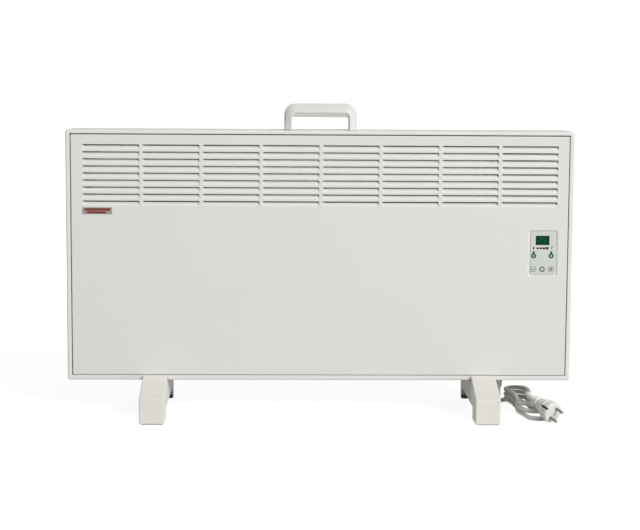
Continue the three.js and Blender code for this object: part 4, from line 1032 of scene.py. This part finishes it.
AMBIENT = 0.17
FLOOR_SHADE, FLOOR_BOUNCE = 0.3, 0.55
GLOW_NEAR, GLOW_FAR = 0.9, 1.05
FADE_FROM, FADE_TO = 0.7, 2.6


def make_world():
    world = bpy.data.worlds.new("studio")
    world.use_nodes = True
    nodes, links = world.node_tree.nodes, world.node_tree.links
    background = nodes["Background"]
    background.inputs["Color"].default_value = (1, 1, 1, 1)
    level = nodes.new("ShaderNodeMapRange")
    level.inputs["To Min"].default_value = AMBIENT
    level.inputs["To Max"].default_value = 1
    links.new(seen_rays(nodes, links), level.inputs["Value"])
    links.new(level.outputs["Result"], background.inputs["Strength"])
    bpy.context.scene.world = world


def make_floor():
    bm = bmesh.new()
    bmesh.ops.create_grid(bm, x_segments=1, y_segments=1, size=20)
    mesh = bpy.data.meshes.new("floor")
    bm.to_mesh(mesh)
    bm.free()
    floor = bpy.data.objects.new("floor", mesh)
    bpy.context.scene.collection.objects.link(floor)
    made = bpy.data.materials.new("pale_floor")
    made.use_nodes = True
    nodes, links = made.node_tree.nodes, made.node_tree.links
    shader = nodes["Principled BSDF"]
    shader.inputs["Roughness"].default_value = 0.9
    shader.inputs["Specular IOR Level"].default_value = 0.0
    shader.inputs["Emission Color"].default_value = (1, 1, 1, 1)
    seen = seen_rays(nodes, links)
    shade = nodes.new("ShaderNodeMapRange")
    shade.inputs["To Min"].default_value = FLOOR_BOUNCE
    shade.inputs["To Max"].default_value = FLOOR_SHADE
    links.new(seen, shade.inputs["Value"])
    links.new(shade.outputs["Result"], shader.inputs["Base Color"])
    place = nodes.new("ShaderNodeTexCoord")
    away = nodes.new("ShaderNodeVectorMath")
    away.operation = "LENGTH"
    links.new(place.outputs["Object"], away.inputs[0])
    fade = nodes.new("ShaderNodeMapRange")
    fade.interpolation_type = "SMOOTHSTEP"
    ends = {"From Min": FADE_FROM, "From Max": FADE_TO, "To Min": GLOW_NEAR, "To Max": GLOW_FAR}
    for socket, value in ends.items():
        fade.inputs[socket].default_value = value
    links.new(away.outputs["Value"], fade.inputs["Value"])
    glow = nodes.new("ShaderNodeMath")
    glow.operation = "MULTIPLY"
    links.new(fade.outputs["Result"], glow.inputs[0])
    links.new(seen, glow.inputs[1])
    links.new(glow.outputs[0], shader.inputs["Emission Strength"])
    mesh.materials.append(made)


def softbox(name, azimuth, elevation, distance, size, level):
    """A square lamp towards the heater's middle. level is the light that it gives a surface facing it."""
    data = bpy.data.lights.new(name, "AREA")
    data.size = size
    data.energy = level * math.pi ** 2 * distance ** 2
    lamp = bpy.data.objects.new(name, data)
    bpy.context.scene.collection.objects.link(lamp)
    a, e = math.radians(azimuth), math.radians(elevation)
    back = Vector((math.sin(a) * math.cos(e), -math.cos(a) * math.cos(e), math.sin(e)))
    lamp.location = Vector((0, 0, 0.3)) + back * distance
    lamp.rotation_mode = "QUATERNION"
    lamp.rotation_quaternion = back.to_track_quat("Z", "Y")


def make_light():
    softbox("key_softbox", 36, 26, 16.0, 6.0, 0.92)
    softbox("top_softbox", 10, 66, 6.0, 3.0, 0.13)
    bpy.context.scene.view_settings.view_transform = "Standard"


# ---------------------------------------------------------------- build
aim_camera()
make_mains_lead()
make_case()
make_front_panel()
make_handle()
make_feet()
make_key_panel()
make_label()
make_painted_shade_screen()
dress_carried_over()
make_world()
make_floor()
make_light()
